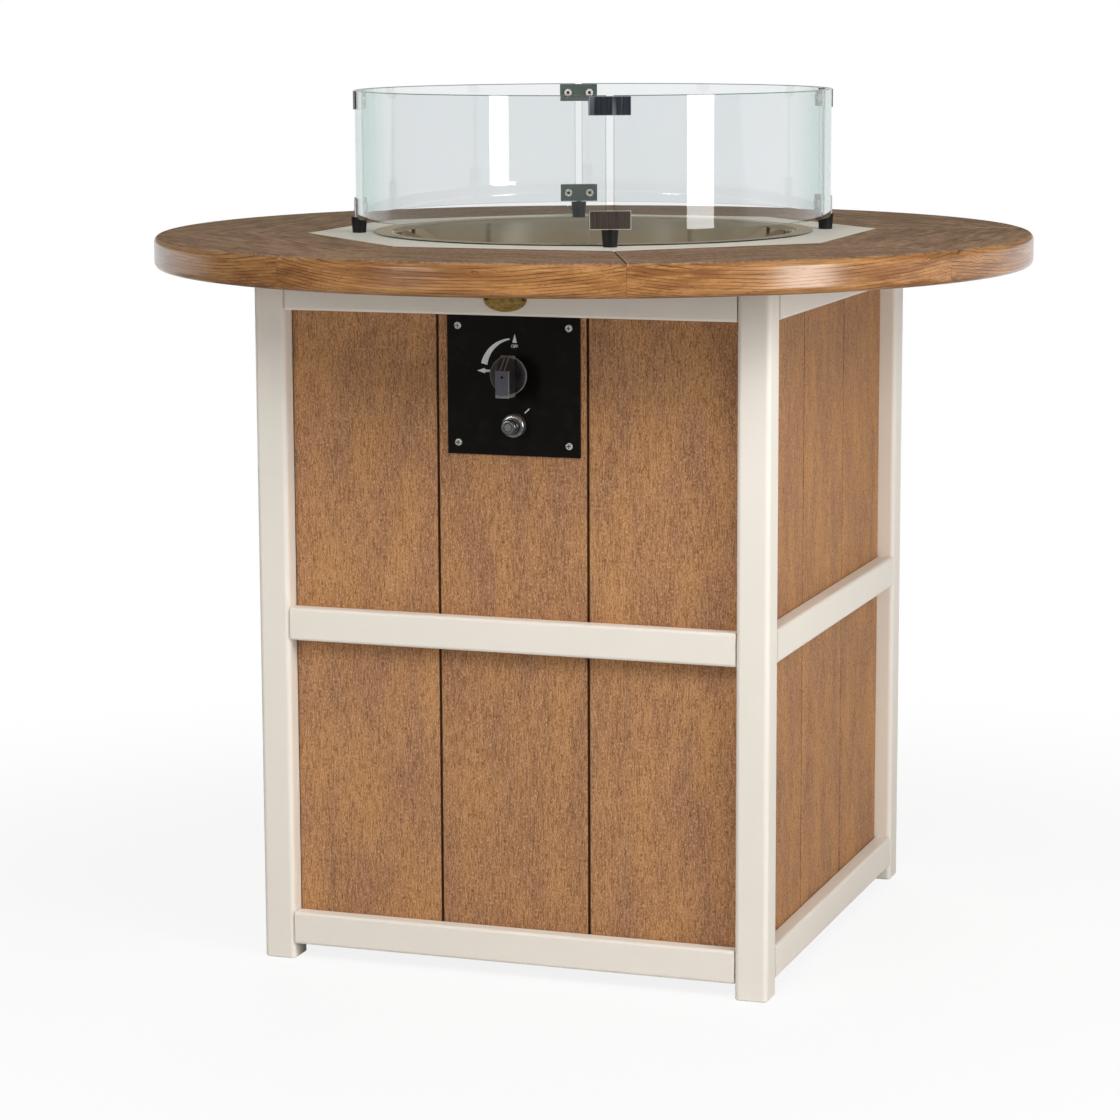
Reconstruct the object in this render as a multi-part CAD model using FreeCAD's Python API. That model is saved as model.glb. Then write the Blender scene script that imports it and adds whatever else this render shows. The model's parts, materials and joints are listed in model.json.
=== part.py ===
import FreeCAD, Part
import math
import os

from FreeCAD import Placement, Rotation, Vector

# Round, counter-height fire pit table on a square cabinet.
# Millimetres. The origin is on the floor under the middle of the table, +Z is up.
# The control panel faces -Y, and the tank door is on the back, at +Y.

# How far a cutting tool runs past a face, and the margin for telling edges apart
past = 1.0
tiny = 0.001

# Table top
top_diameter = 1118.0
top_height = 900.0
top_thickness = 40.0
rim_round = 8.0
segment_count = 8
segment_seam = 0.3
segment_bevel = 1.4
inlay_across_flats = 674.0
inlay_seam = 0.4
inlay_bevel = 0.8
mitre_plate_width = 38.0
mitre_plate_thickness = 3.0
mitre_plate_length = 122.0

# Cabinet frame
base_width = 658.0
leg_width = 41.0
leg_round = 6.0
leg_foot_chamfer = 1.5
rail_height = 41.0
rail_depth = 22.0
rail_round = 4.0
rail_end_gap = 0.8
bottom_rail_clearance = 19.5
middle_rail_drop = 10.75
plank_count = 3
plank_thickness = 16.0
plank_gap = 2.0
plank_bevel = 1.5
plank_end_setback = 5.0
seat_gap = 0.3
cleat_depth = 25.0
top_cleat_height = 40.0
shelf_cleat_height = 25.0
shelf_thickness = 16.0
shelf_board_count = 4
shelf_board_gap = 14.0

# Tank door
door_side_gap = 2.5
door_top_gap = 2.0
door_cleat_height = 40.0
door_cleat_inset = 18.0
door_cleat_above_floor = 90.0
door_cleat_below_top = 120.0
hinge_height = 30.0
hinge_leaf_width = 28.0
hinge_leaf_thickness = 2.0
hinge_knuckle_radius = 3.5
hinge_knuckle_standoff = 0.4
hinge_knuckle_gap = 0.3
hinge_turning_gap = 0.2
hinge_end_knuckle = 9.0
hinge_pin_radius = 2.0
hinge_pin_play = 0.08
hinge_pin_head_radius = 3.2
hinge_pin_head_height = 1.5
pull_from_free_edge = 50.0
pull_below_top = 230.0
pull_diameter = 30.0
pull_thickness = 14.0
pull_round = 3.5
pull_neck_diameter = 14.0
pull_neck_length = 9.0
catch_from_middle = 200.0
catch_length = 45.0
catch_height = 15.0
strike_thickness = 1.5

# Burner
pan_opening_diameter = 508.0
pan_flange_width = 26.0
pan_sheet = 1.5
pan_roll = 6.0
pan_depth = 75.0
pan_wall_lean = 10.0
pan_floor_round = 12.0
pan_hole_clearance = 0.5
pan_drain_diameter = 6.0
pan_drain_circle = 400.0
pan_drain_count = 4
ring_outer_diameter = 300.0
ring_inner_diameter = 150.0
ring_tube_radius = 8.0
ring_tube_wall = 1.5
spoke_radius = 6.5
ring_above_floor = 30.0
ring_port_diameter = 2.0
ring_outer_ports = 32
ring_inner_ports = 16
hub_radius = 17.0
nipple_radius = 10.5
nipple_length = 18.0

# Gas train under the pan
mixer_hex = 30.0
mixer_hex_height = 26.0
mixer_body_radius = 10.0
mixer_body_length = 34.0
mixer_elbow_length = 26.0
mixer_elbow_radius = 9.0
mixer_bore_radius = 5.0
mixer_window_width = 7.0
mixer_window_height = 14.0
line_radius = 6.35
line_nut_hex = 19.0
line_nut_length = 16.0
line_straight = 45.0

# Control plate and gas valve
controls_offset = 4.0
plate_offset = 2.5
plate_width = 170.0
plate_thickness = 2.0
plate_top_gap = 0.5
plate_screw_inset = 14.0
plate_screw_head_radius = 4.3
plate_screw_head_height = 2.4
plate_screw_radius = 2.0
plate_screw_length = 12.0
plate_screw_cross = 5.2
plate_screw_cross_width = 1.1
plate_screw_cross_depth = 1.4
panel_cutout_width = 100.0
panel_cutout_margin = 22.0
knob_above_plate_middle = 14.5
valve_behind_boards = 4.0
valve_width = 48.0
valve_height = 44.0
valve_depth = 41.0
valve_round = 4.0
valve_shoulder_radius = 14.0
valve_neck_radius = 10.0
valve_neck_past_plate = 10.0
valve_nut_hex = 24.0
valve_nut_thickness = 3.0
valve_outlet_radius = 9.0
valve_outlet_length = 18.0
valve_outlet_bore_depth = 26.0
valve_bore_radius = 4.0
valve_inlet_radius = 11.0
valve_inlet_length = 8.0
valve_inlet_from_back = 18.0
stem_radius = 4.0
stem_play = 0.08
stem_depth_in_valve = 18.0
collar_radius = 7.0
collar_play = 0.1
collar_thickness = 3.0
push_travel = 3.0
push_overrun = 1.0
knob_gap = 7.0
knob_boss_radius = 19.5
knob_boss_depth = 10.5
knob_radius = 23.5
knob_skirt_depth = 5.5
knob_skirt_round = 1.5
knob_grip_depth = 21.0
knob_grip_width = 17.5
knob_grip_below = 25.2
knob_grip_above = 24.0
knob_grip_root = 4.0
knob_grip_round = 1.0
knob_ramp_start = 7.5
knob_ramp_end = 2.0
knob_hollow_radius = 17.0
knob_hollow_depth = 10.0
knob_grip_cover = 8.0
inlet_arm_radius = 8.5
inlet_arm_length = 7.0
inlet_elbow_width = 18.0
inlet_elbow_round = 3.0
inlet_thread_radius = 7.94
inlet_thread_length = 18.0
inlet_cone = 4.0
inlet_nose_radius = 4.94

# Igniter
igniter_below_plate_middle = 48.0
bezel_radius = 14.5
bezel_depth = 10.0
bezel_round = 4.0
sleeve_radius = 11.0
sleeve_length = 8.0
button_radius = 9.5
button_play = 0.1
button_past_bezel = 15.0
button_round = 2.5
button_travel = 5.0
button_tail = 3.0
module_radius = 15.0
module_length = 62.0
terminal_radius = 3.5
terminal_length = 7.0
lead_radius = 2.5
lead_first_run = 36.0
lead_last_run = 65.0
electrode_x = 45.0
electrode_from_ring = 21.0
electrode_radius = 4.0
electrode_play = 0.2
electrode_below_floor = 20.0
electrode_above_floor = 36.0
electrode_flange_radius = 8.0
electrode_flange_height = 2.0
spark_rod_radius = 1.3
spark_rod_length = 12.0
spark_rod_lean = 6.0
bend_share = 0.45

# Name plate on the front top rail
nameplate_width = 55.0
nameplate_height = 31.0
nameplate_thickness = 1.0
nameplate_pin_spacing = 47.0
nameplate_pin_radius = 2.0
nameplate_pin_head = 1.2
nameplate_pin_length = 6.0

# Glass wind guard
guard_past_flange = 23.0
glass_thickness = 8.0
glass_height = 160.0
pane_count = 4
pane_gap = 9.0
first_joint_angle = 22.5
clamp_width = 50.0
clamp_height = 22.5
clamp_from_glass_edge = 1.2
clamp_plate_thickness = 1.5
clamp_pad_thickness = 0.5
clamp_pad_inset = 1.0
clamp_tongue_width = 8.4
clamp_screw_spacing = 29.0
clamp_screw_radius = 2.5
clamp_screw_head_radius = 5.0
clamp_screw_head_height = 2.8
clamp_screw_socket = 4.0
clamp_screw_socket_depth = 1.8
glass_hole_radius = 4.0
foot_height = 20.0
foot_top_radius = 10.3
foot_bottom_radius = 8.6
foot_stud_radius = 2.5
foot_stud_length = 14.0

# Worked out from the sizes above
half = base_width / 2
leg_inner = half - leg_width
under_top = top_height - top_thickness
top_rail_bottom = under_top - rail_height
middle_rail_bottom = (bottom_rail_clearance + top_rail_bottom) / 2 - middle_rail_drop
plank_front = half - rail_depth
plank_back = plank_front - plank_thickness
span_angle = 360.0 / segment_count
pan_floor = top_height + pan_sheet - pan_depth
pan_opening_radius = pan_opening_diameter / 2
pan_flange_radius = pan_opening_radius + pan_flange_width
pan_hole_radius = pan_opening_radius + pan_roll + pan_hole_clearance
ring_height = pan_floor + ring_above_floor
plate_front = -plank_front - plate_thickness
plate_centre_height = top_rail_bottom - plate_top_gap - plate_width / 2
knob_axis_height = plate_centre_height + knob_above_plate_middle
igniter_axis_height = plate_centre_height - igniter_below_plate_middle
pull_height = under_top - pull_below_top
valve_front = -plank_front + valve_behind_boards
valve_back = valve_front + valve_depth
neck_front = plate_front - valve_neck_past_plate
knob_back = plate_front - knob_gap
knob_skirt_back = knob_back - knob_boss_depth
knob_face = knob_skirt_back - knob_skirt_depth
knob_front = knob_face - knob_grip_depth
bezel_front = plate_front - bezel_depth
nameplate_centre_height = top_rail_bottom + rail_height / 2
module_back = -plank_front + module_length
hinge_x = -leg_inner + door_side_gap / 2
hinge_y = half + hinge_knuckle_radius + hinge_knuckle_standoff
guard_bottom = top_height + foot_height
guard_top = guard_bottom + glass_height
glass_outer_radius = pan_flange_radius + guard_past_flange
glass_inner_radius = glass_outer_radius - glass_thickness
glass_middle_radius = glass_outer_radius - glass_thickness / 2
outer_plate_radius = glass_outer_radius + clamp_pad_thickness
inner_plate_radius = glass_inner_radius - clamp_pad_thickness
clamp_inner_face = inner_plate_radius - clamp_plate_thickness
clamp_head_seat = math.sqrt(clamp_inner_face ** 2 - (clamp_screw_spacing / 2 + clamp_screw_head_radius) ** 2)
screw_tip_radius = outer_plate_radius + clamp_plate_thickness / 2


def box(x0, x1, y0, y1, z0, z1):
    return Part.makeBox(x1 - x0, y1 - y0, z1 - z0, Vector(x0, y0, z0))


def rod(radius, start, end):
    direction = Vector(*end) - Vector(*start)
    return Part.makeCylinder(radius, direction.Length, Vector(*start), direction)


def turned(shape, degrees):
    copy = shape.copy()
    copy.rotate(Vector(0, 0, 0), Vector(0, 0, 1), degrees)
    return copy


def edges_along(shape, axis):
    found = []
    for edge in shape.Edges:
        if isinstance(edge.Curve, Part.Line):
            if abs(abs(edge.tangentAt(edge.FirstParameter).dot(axis)) - 1) < tiny:
                found.append(edge)
    return found


def circles_at(shape, y):
    # The circular edges that lie in one plane across Y.
    return [edge for edge in shape.Edges if isinstance(edge.Curve, Part.Circle)
            and abs(edge.BoundBox.YMin - y) < tiny and abs(edge.BoundBox.YMax - y) < tiny]


def edges_at_height(shape, height):
    return [edge for edge in shape.Edges if abs(edge.BoundBox.ZMin - height) < tiny
            and abs(edge.BoundBox.ZMax - height) < tiny]


def prism(points, z0, z1):
    corners = [Vector(x, y, z0) for x, y in points]
    face = Part.Face(Part.makePolygon(corners + [corners[0]]))
    return face.extrude(Vector(0, 0, z1 - z0))


def hexagon(across_flats, start, end):
    # A hexagonal bar between two points on one axis.
    direction = Vector(*end) - Vector(*start)
    radius = across_flats / math.sqrt(3)
    corners = [Vector(radius * math.cos(math.radians(60 * k)), radius * math.sin(math.radians(60 * k)), 0)
               for k in range(6)]
    bar = Part.Face(Part.makePolygon(corners + [corners[0]])).extrude(Vector(0, 0, direction.Length))
    bar.Placement = Placement(Vector(*start), Rotation(Vector(0, 0, 1), direction))
    return bar


def rounded_path(corners, closed=False):
    # Lines through the corners (point, radius), each corner rounded by its radius.
    count = len(corners)
    points = [Vector(*point) for point, radius in corners]
    edges = []
    cursor = None
    first = None
    order = range(count) if closed else range(1, count - 1)
    if not closed:
        cursor = points[0]
    for k in order:
        before = points[k - 1]
        after = points[(k + 1) % count]
        radius = corners[k][1]
        into = (points[k] - before).normalize()
        out = (after - points[k]).normalize()
        turn = into.getAngle(out)
        setback = radius * math.tan(turn / 2)
        arc_start = points[k] - into * setback
        arc_end = points[k] + out * setback
        if cursor is not None and (arc_start - cursor).Length > tiny:
            edges.append(Part.LineSegment(cursor, arc_start).toShape())
        if radius > 0:
            middle = (out - into).normalize()
            centre = points[k] + middle * (radius / math.cos(turn / 2))
            edges.append(Part.Arc(arc_start, centre - middle * radius, arc_end).toShape())
        cursor = arc_end
        if first is None:
            first = arc_start
    if closed:
        edges.append(Part.LineSegment(cursor, first).toShape())
    else:
        edges.append(Part.LineSegment(cursor, points[-1]).toShape())
    return Part.Wire(edges)


def spun(corners):
    # A solid of revolution about Z from (radius, height, rounding) corners.
    profile = rounded_path([((r, 0, z), rounding) for r, z, rounding in corners], closed=True)
    return Part.Face(profile).revolve(Vector(0, 0, 0), Vector(0, 0, 1), 360)


def ring_wedge(angle, half_angle, gap, reach, z0, z1):
    # The sector round one angle from -Y, with straight sides set back by half of a gap.
    middle = math.radians(angle)
    opening = math.radians(half_angle)
    apex_distance = gap / 2 / math.sin(opening)
    apex = (apex_distance * math.sin(middle), -apex_distance * math.cos(middle))
    points = [apex]
    for side in (-1, 1):
        direction = middle + side * opening
        points.append((apex[0] + reach * math.sin(direction), apex[1] - reach * math.cos(direction)))
    return prism(points, z0, z1)


def octagon(inradius, z0, z1):
    radius = inradius / math.cos(math.radians(span_angle / 2))
    angles = [math.radians(span_angle * (k + 0.5)) for k in range(segment_count)]
    return prism([(radius * math.sin(a), -radius * math.cos(a)) for a in angles], z0, z1)


def arc_block(r0, r1, angle, width, z0, z1):
    # A block of a cylinder wall, `width` wide along the wall, centred on one angle from -Y.
    wall = Part.makeCylinder(r1, z1 - z0, Vector(0, 0, z0))
    wall = wall.cut(Part.makeCylinder(r0, z1 - z0, Vector(0, 0, z0)))
    slab = box(-width / 2, width / 2, -r1 - past, 0, z0 - past, z1 + past)
    return wall.common(turned(slab, angle))


def save(name, *solids):
    shape = solids[0] if len(solids) == 1 else Part.makeCompound(list(solids))
    for solid in shape.Solids:
        if not solid.isValid():
            print("not valid:", name)
    shape.exportStep("parts/" + name + ".step")


# Table top

def mitre_plate(k):
    # Halfway between the rim and the corner of the inlay.
    corner = inlay_across_flats / 2 / math.cos(math.radians(span_angle / 2))
    middle = (top_diameter / 2 + corner) / 2
    plate = box(-mitre_plate_width / 2, mitre_plate_width / 2, -middle - mitre_plate_length / 2,
                -middle + mitre_plate_length / 2, under_top, under_top + mitre_plate_thickness)
    return turned(plate, span_angle * (k + 0.5))


def seam_groove(k):
    # A V along one mitre, which bevels the top edges of both segments there.
    depth = segment_seam / 2 + segment_bevel
    corners = [Vector(0, 0, top_height - depth), Vector(depth + past, 0, top_height + past),
               Vector(-depth - past, 0, top_height + past)]
    face = Part.Face(Part.makePolygon(corners + [corners[0]]))
    return turned(face.extrude(Vector(0, -top_diameter, 0)), span_angle * (k + 0.5))


def top_segments():
    disc = Part.makeCylinder(top_diameter / 2, top_thickness, Vector(0, 0, under_top))
    rims = [edge for edge in disc.Edges if isinstance(edge.Curve, Part.Circle)]
    disc = disc.makeFillet(rim_round, rims)
    disc = disc.cut(octagon(inlay_across_flats / 2, under_top - past, top_height + past))
    segments = []
    for k in range(segment_count):
        wedge = ring_wedge(span_angle * k, span_angle / 2, segment_seam, top_diameter, under_top - past,
                           top_height + past)
        segment = disc.common(wedge).cut(seam_groove(k)).cut(seam_groove(k - 1))
        segment = segment.cut(mitre_plate(k)).cut(mitre_plate(k - 1))
        segments.append(segment.Solids[0])
    return segments


def inlay_segments():
    plate = octagon(inlay_across_flats / 2 - inlay_seam, under_top, top_height)
    plate = plate.makeChamfer(inlay_bevel, edges_at_height(plate, top_height))
    plate = plate.cut(Part.makeCylinder(pan_hole_radius, top_thickness, Vector(0, 0, under_top)))
    segments = []
    for k in range(segment_count):
        wedge = ring_wedge(span_angle * k, span_angle / 2, inlay_seam, top_diameter, under_top - past,
                           top_height + past)
        segments.append(plate.common(wedge).Solids[0])
    return segments


# Cabinet, each side built at the front and turned into place

def leg(side_x, side_y):
    post = box(leg_inner, half, leg_inner, half, 0, under_top)
    post = post.makeFillet(leg_round, edges_along(post, Vector(0, 0, 1)))
    post = post.makeChamfer(leg_foot_chamfer, edges_at_height(post, 0))
    angle = {(1, 1): 0, (-1, 1): 90, (-1, -1): 180, (1, -1): 270}[(side_x, side_y)]
    return turned(post, angle)


def rail(bottom, end_gap):
    bar = box(-leg_inner + end_gap, leg_inner - end_gap, -half, -plank_front, bottom,
              bottom + rail_height)
    return bar.makeFillet(rail_round, edges_along(bar, Vector(1, 0, 0)))


def rails(end_gap, top_gap):
    return [rail(bottom, end_gap) for bottom in
            (top_rail_bottom - top_gap, middle_rail_bottom, bottom_rail_clearance)]


def planks(end_gap):
    room = 2 * (leg_inner - end_gap)
    width = (room - plank_gap * (plank_count - 1)) / plank_count
    boards = []
    for k in range(plank_count):
        start = -leg_inner + end_gap + k * (width + plank_gap)
        board = box(start, start + width, -plank_front, -plank_back,
                    bottom_rail_clearance + plank_end_setback, under_top - plank_end_setback)
        face_edges = [edge for edge in edges_along(board, Vector(0, 0, 1))
                      if abs(edge.BoundBox.YMin + plank_front) < tiny]
        boards.append(board.makeChamfer(plank_bevel, face_edges))
    return boards


def cleat_frame(height, top):
    # Four battens inside the planks: the front and back ones run through, the side ones fit between.
    bottom = top - height
    reach = leg_inner - seat_gap
    front = box(-reach, reach, -plank_back, -plank_back + cleat_depth, bottom, top)
    back = box(-reach, reach, reach - cleat_depth, reach, bottom, top)
    sides = []
    for side in (-1, 1):
        edges = sorted((side * plank_back, side * (plank_back - cleat_depth)))
        sides.append(box(edges[0], edges[1], -plank_back + cleat_depth + seat_gap,
                         reach - cleat_depth - seat_gap, bottom, top))
    return [front, back] + sides


def shelf_boards():
    # Boards from side to side on the cleats. Air passes through the gaps between them.
    bottom = bottom_rail_clearance + rail_height
    reach = leg_inner - seat_gap
    width = (2 * reach - shelf_board_gap * (shelf_board_count - 1)) / shelf_board_count
    boards = []
    for k in range(shelf_board_count):
        start = -reach + k * (width + shelf_board_gap)
        boards.append(box(-reach, reach, start, start + width, bottom, bottom + shelf_thickness))
    return boards


# Tank door, on the back

def hinge_centres():
    rail_bottoms = (bottom_rail_clearance, middle_rail_bottom, top_rail_bottom - door_top_gap)
    return [bottom + rail_height / 2 for bottom in rail_bottoms]


def hinge_leaf(centre, fixed):
    # The fixed leaf lies on the leg with the two end knuckles, the door leaf on the rail with the
    # middle one. Each leaf is cut away where the other leaf's knuckles turn.
    side = -1 if fixed else 1
    bottom = centre - hinge_height / 2
    knuckles = ((bottom, bottom + hinge_end_knuckle),
                (bottom + hinge_end_knuckle + hinge_knuckle_gap,
                 bottom + hinge_height - hinge_end_knuckle - hinge_knuckle_gap),
                (bottom + hinge_height - hinge_end_knuckle, bottom + hinge_height))
    own = (knuckles[0], knuckles[2]) if fixed else (knuckles[1],)
    near = hinge_knuckle_radius + hinge_knuckle_standoff + hinge_turning_gap
    xs = sorted((hinge_x + side * near, hinge_x + side * hinge_leaf_width))
    leaf = box(xs[0], xs[1], half, half + hinge_leaf_thickness, bottom, bottom + hinge_height)
    for z0, z1 in own:
        barrel = rod(hinge_knuckle_radius, (hinge_x, hinge_y, z0), (hinge_x, hinge_y, z1))
        xs = sorted((hinge_x, hinge_x + side * near))
        web = box(xs[0], xs[1], half + hinge_knuckle_standoff, half + hinge_leaf_thickness, z0, z1)
        leaf = leaf.fuse(barrel).fuse(web)
    hole = hinge_pin_radius if fixed else hinge_pin_radius + hinge_pin_play
    leaf = leaf.cut(rod(hole, (hinge_x, hinge_y, bottom - past),
                        (hinge_x, hinge_y, bottom + hinge_height + past)))
    return leaf.removeSplitter()


def hinge_pin(centre):
    bottom = centre - hinge_height / 2
    top = bottom + hinge_height
    head_top = top + hinge_pin_head_height
    shank = rod(hinge_pin_radius, (hinge_x, hinge_y, bottom), (hinge_x, hinge_y, top))
    head = rod(hinge_pin_head_radius, (hinge_x, hinge_y, top), (hinge_x, hinge_y, head_top))
    return shank.fuse(head).removeSplitter()


def door_pull():
    x = leg_inner - pull_from_free_edge
    neck = rod(pull_neck_diameter / 2, (x, plank_front, pull_height),
               (x, plank_front + pull_neck_length, pull_height))
    start = plank_front + pull_neck_length
    grip = rod(pull_diameter / 2, (x, start, pull_height), (x, start + pull_thickness, pull_height))
    rims = [edge for edge in grip.Edges if isinstance(edge.Curve, Part.Circle)]
    return neck.fuse(grip.makeFillet(pull_round, rims))


def door_cleats():
    reach = leg_inner - door_cleat_inset
    return [box(-reach, reach, plank_back - cleat_depth, plank_back, bottom, bottom + door_cleat_height)
            for bottom in (door_cleat_above_floor, under_top - door_cleat_below_top)]


def door_catch():
    top = under_top - top_cleat_height
    front = plank_back - strike_thickness - seat_gap
    return box(catch_from_middle - catch_length / 2, catch_from_middle + catch_length / 2,
               leg_inner - seat_gap - cleat_depth, front, top - catch_height, top)


def catch_strike():
    top = under_top - top_cleat_height
    return box(catch_from_middle - catch_length / 2, catch_from_middle + catch_length / 2,
               plank_back - strike_thickness, plank_back, top - catch_height, top)


# Burner

def burner_pan():
    rim = pan_flange_radius
    top = top_height + pan_sheet
    wall = pan_opening_radius
    foot = pan_opening_radius - pan_wall_lean
    outside = spun([(0, pan_floor - pan_sheet, 0), (foot + pan_sheet, pan_floor - pan_sheet, pan_floor_round),
                    (wall + pan_sheet, top_height, pan_roll - pan_sheet), (rim, top_height, 0),
                    (rim, top, 0), (0, top, 0)])
    inside = spun([(0, pan_floor, 0), (foot, pan_floor, pan_floor_round - pan_sheet),
                   (wall, top, pan_roll), (rim, top, 0), (rim, top + past, 0), (0, top + past, 0)])
    pan = outside.cut(inside)
    places = [(0, 0, nipple_radius)]
    for k in range(pan_drain_count):
        angle = math.radians(360.0 / pan_drain_count * (k + 0.5))
        places.append((pan_drain_circle / 2 * math.cos(angle), pan_drain_circle / 2 * math.sin(angle),
                       pan_drain_diameter / 2))
    places.append(electrode_place() + (electrode_radius + electrode_play,))
    holes = [rod(radius, (x, y, pan_floor - pan_sheet - past), (x, y, pan_floor + past))
             for x, y, radius in places]
    return pan.cut(Part.makeCompound(holes))


def tube_ring(diameter, radius):
    return Part.makeTorus(diameter / 2, radius, Vector(0, 0, ring_height))


def burner_ring():
    bore = ring_tube_radius - ring_tube_wall
    reach = ring_outer_diameter / 2
    spokes = ((reach, 0), (0, reach))
    nipple_end = pan_floor - pan_sheet - nipple_length
    body = tube_ring(ring_outer_diameter, ring_tube_radius)
    body = body.fuse(tube_ring(ring_inner_diameter, ring_tube_radius))
    hollow = tube_ring(ring_outer_diameter, bore).fuse(tube_ring(ring_inner_diameter, bore))
    for x, y in spokes:
        start = (-x, -y, ring_height)
        end = (x, y, ring_height)
        body = body.fuse(rod(spoke_radius, start, end))
        hollow = hollow.fuse(rod(spoke_radius - ring_tube_wall, start, end))
    body = body.fuse(rod(hub_radius, (0, 0, pan_floor), (0, 0, ring_height + ring_tube_radius)))
    body = body.fuse(rod(nipple_radius, (0, 0, nipple_end), (0, 0, pan_floor + past)))
    hollow = hollow.fuse(rod(bore, (0, 0, nipple_end - past), (0, 0, ring_height)))
    ports = []
    for diameter, count in ((ring_outer_diameter, ring_outer_ports), (ring_inner_diameter, ring_inner_ports)):
        for k in range(count):
            angle = math.radians(360.0 / count * (k + 0.5))
            x = diameter / 2 * math.cos(angle)
            y = diameter / 2 * math.sin(angle)
            ports.append(rod(ring_port_diameter / 2, (x, y, ring_height),
                             (x, y, ring_height + ring_tube_radius + past)))
    return body.cut(hollow).cut(Part.makeCompound(ports))


# Gas train

def mixer_levels():
    top = pan_floor - pan_sheet
    shoulder = top - mixer_hex_height
    elbow = shoulder - mixer_body_length
    return top, shoulder, elbow


def air_mixer():
    top, shoulder, elbow = mixer_levels()
    nut = hexagon(mixer_hex, (0, 0, shoulder), (0, 0, top))
    barrel = rod(mixer_body_radius, (0, 0, elbow - mixer_elbow_radius), (0, 0, shoulder))
    arm = rod(mixer_elbow_radius, (0, 0, elbow), (0, -mixer_elbow_length, elbow))
    body = nut.fuse(barrel).fuse(arm)
    body = body.cut(rod(nipple_radius, (0, 0, top - nipple_length), (0, 0, top)))
    body = body.cut(rod(mixer_bore_radius, (0, 0, elbow), (0, 0, top)))
    body = body.cut(rod(mixer_bore_radius, (0, 0, elbow), (0, -mixer_elbow_length, elbow)))
    window_top = shoulder - mixer_bore_radius
    window = box(-mixer_body_radius - past, mixer_body_radius + past, -mixer_window_width / 2,
                 mixer_window_width / 2, window_top - mixer_window_height, window_top)
    return body.cut(window)


def gas_line():
    # Soft metal tube from the valve outlet to the mixer elbow, with a flare nut on each end.
    elbow = mixer_levels()[2]
    start = (controls_offset, valve_back + valve_outlet_length, knob_axis_height)
    end = (0, -mixer_elbow_length, elbow)
    second = (controls_offset, start[1] + line_straight, knob_axis_height)
    third = (0, end[1] - line_straight, elbow)
    turn = (Vector(*third) - Vector(*second)).getAngle(Vector(0, 1, 0))
    bend = bend_share * line_straight / math.tan(turn / 2)
    path = rounded_path([(start, 0), (second, bend), (third, bend), (end, 0)])
    tube = swept_tube(path, line_radius)
    print("gas line: bend radius %.0f, volume ratio %.4f" %
          (bend, tube.Volume / (math.pi * line_radius ** 2 * path.Length)))
    for x, y0, z in (start, (end[0], end[1] - line_nut_length, end[2])):
        tube = tube.fuse(hexagon(line_nut_hex, (x, y0, z), (x, y0 + line_nut_length, z)))
    return tube


def swept_tube(path, radius):
    first = path.Edges[0]
    start = first.valueAt(first.FirstParameter)
    direction = first.tangentAt(first.FirstParameter)
    circle = Part.Wire(Part.makeCircle(radius, start, direction))
    return path.makePipeShell([circle], True, False)


# Control plate, valve, knob

def at_controls(*solids):
    # The knob and the igniter share an upright axis a little to the right of the middle.
    return [solid.translated(Vector(controls_offset, 0, 0)) for solid in solids]


def plate_screw_places():
    reach = plate_width / 2 - plate_screw_inset
    return [(plate_offset + x, plate_centre_height + z) for x in (-reach, reach) for z in (-reach, reach)]


def control_plate():
    reach = plate_width / 2
    plate = box(plate_offset - reach, plate_offset + reach, plate_front, -plank_front,
                plate_centre_height - reach, plate_centre_height + reach)
    holes = [(controls_offset, knob_axis_height, valve_neck_radius + button_play),
             (controls_offset, igniter_axis_height, sleeve_radius)]
    holes += [(x, z, plate_screw_radius) for x, z in plate_screw_places()]
    for x, z, radius in holes:
        plate = plate.cut(rod(radius, (x, plate_front - past, z), (x, -plank_front + past, z)))
    return plate


def plate_screws():
    # Pan heads with a cross recess.
    screws = []
    reach = plate_screw_cross / 2
    slot = plate_screw_cross_width / 2
    for x, z in plate_screw_places():
        head_front = plate_front - plate_screw_head_height
        head = rod(plate_screw_head_radius, (x, plate_front, z), (x, head_front, z))
        head = head.makeFillet(plate_screw_head_height / 2, circles_at(head, head_front))
        shank = rod(plate_screw_radius, (x, plate_front, z), (x, plate_front + plate_screw_length, z))
        floor = head_front + plate_screw_cross_depth
        upright = box(x - slot, x + slot, head_front - past, floor, z - reach, z + reach)
        level = box(x - reach, x + reach, head_front - past, floor, z - slot, z + slot)
        screws.append(head.fuse(shank).removeSplitter().cut(upright.fuse(level)))
    return screws


def front_planks():
    # The middle board is cut out behind the control plate for the valve and the igniter.
    boards = planks(seat_gap)
    cut = box(controls_offset - panel_cutout_width / 2, controls_offset + panel_cutout_width / 2,
              -plank_front - past, -plank_back + past, igniter_axis_height - panel_cutout_margin,
              knob_axis_height + valve_height / 2 + panel_cutout_margin)
    middle = boards[plank_count // 2].cut(cut)
    for x, z in plate_screw_places():
        middle = middle.cut(rod(plate_screw_radius, (x, -plank_front, z),
                                (x, plate_front + plate_screw_length, z)))
    boards[plank_count // 2] = middle
    return boards


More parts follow.
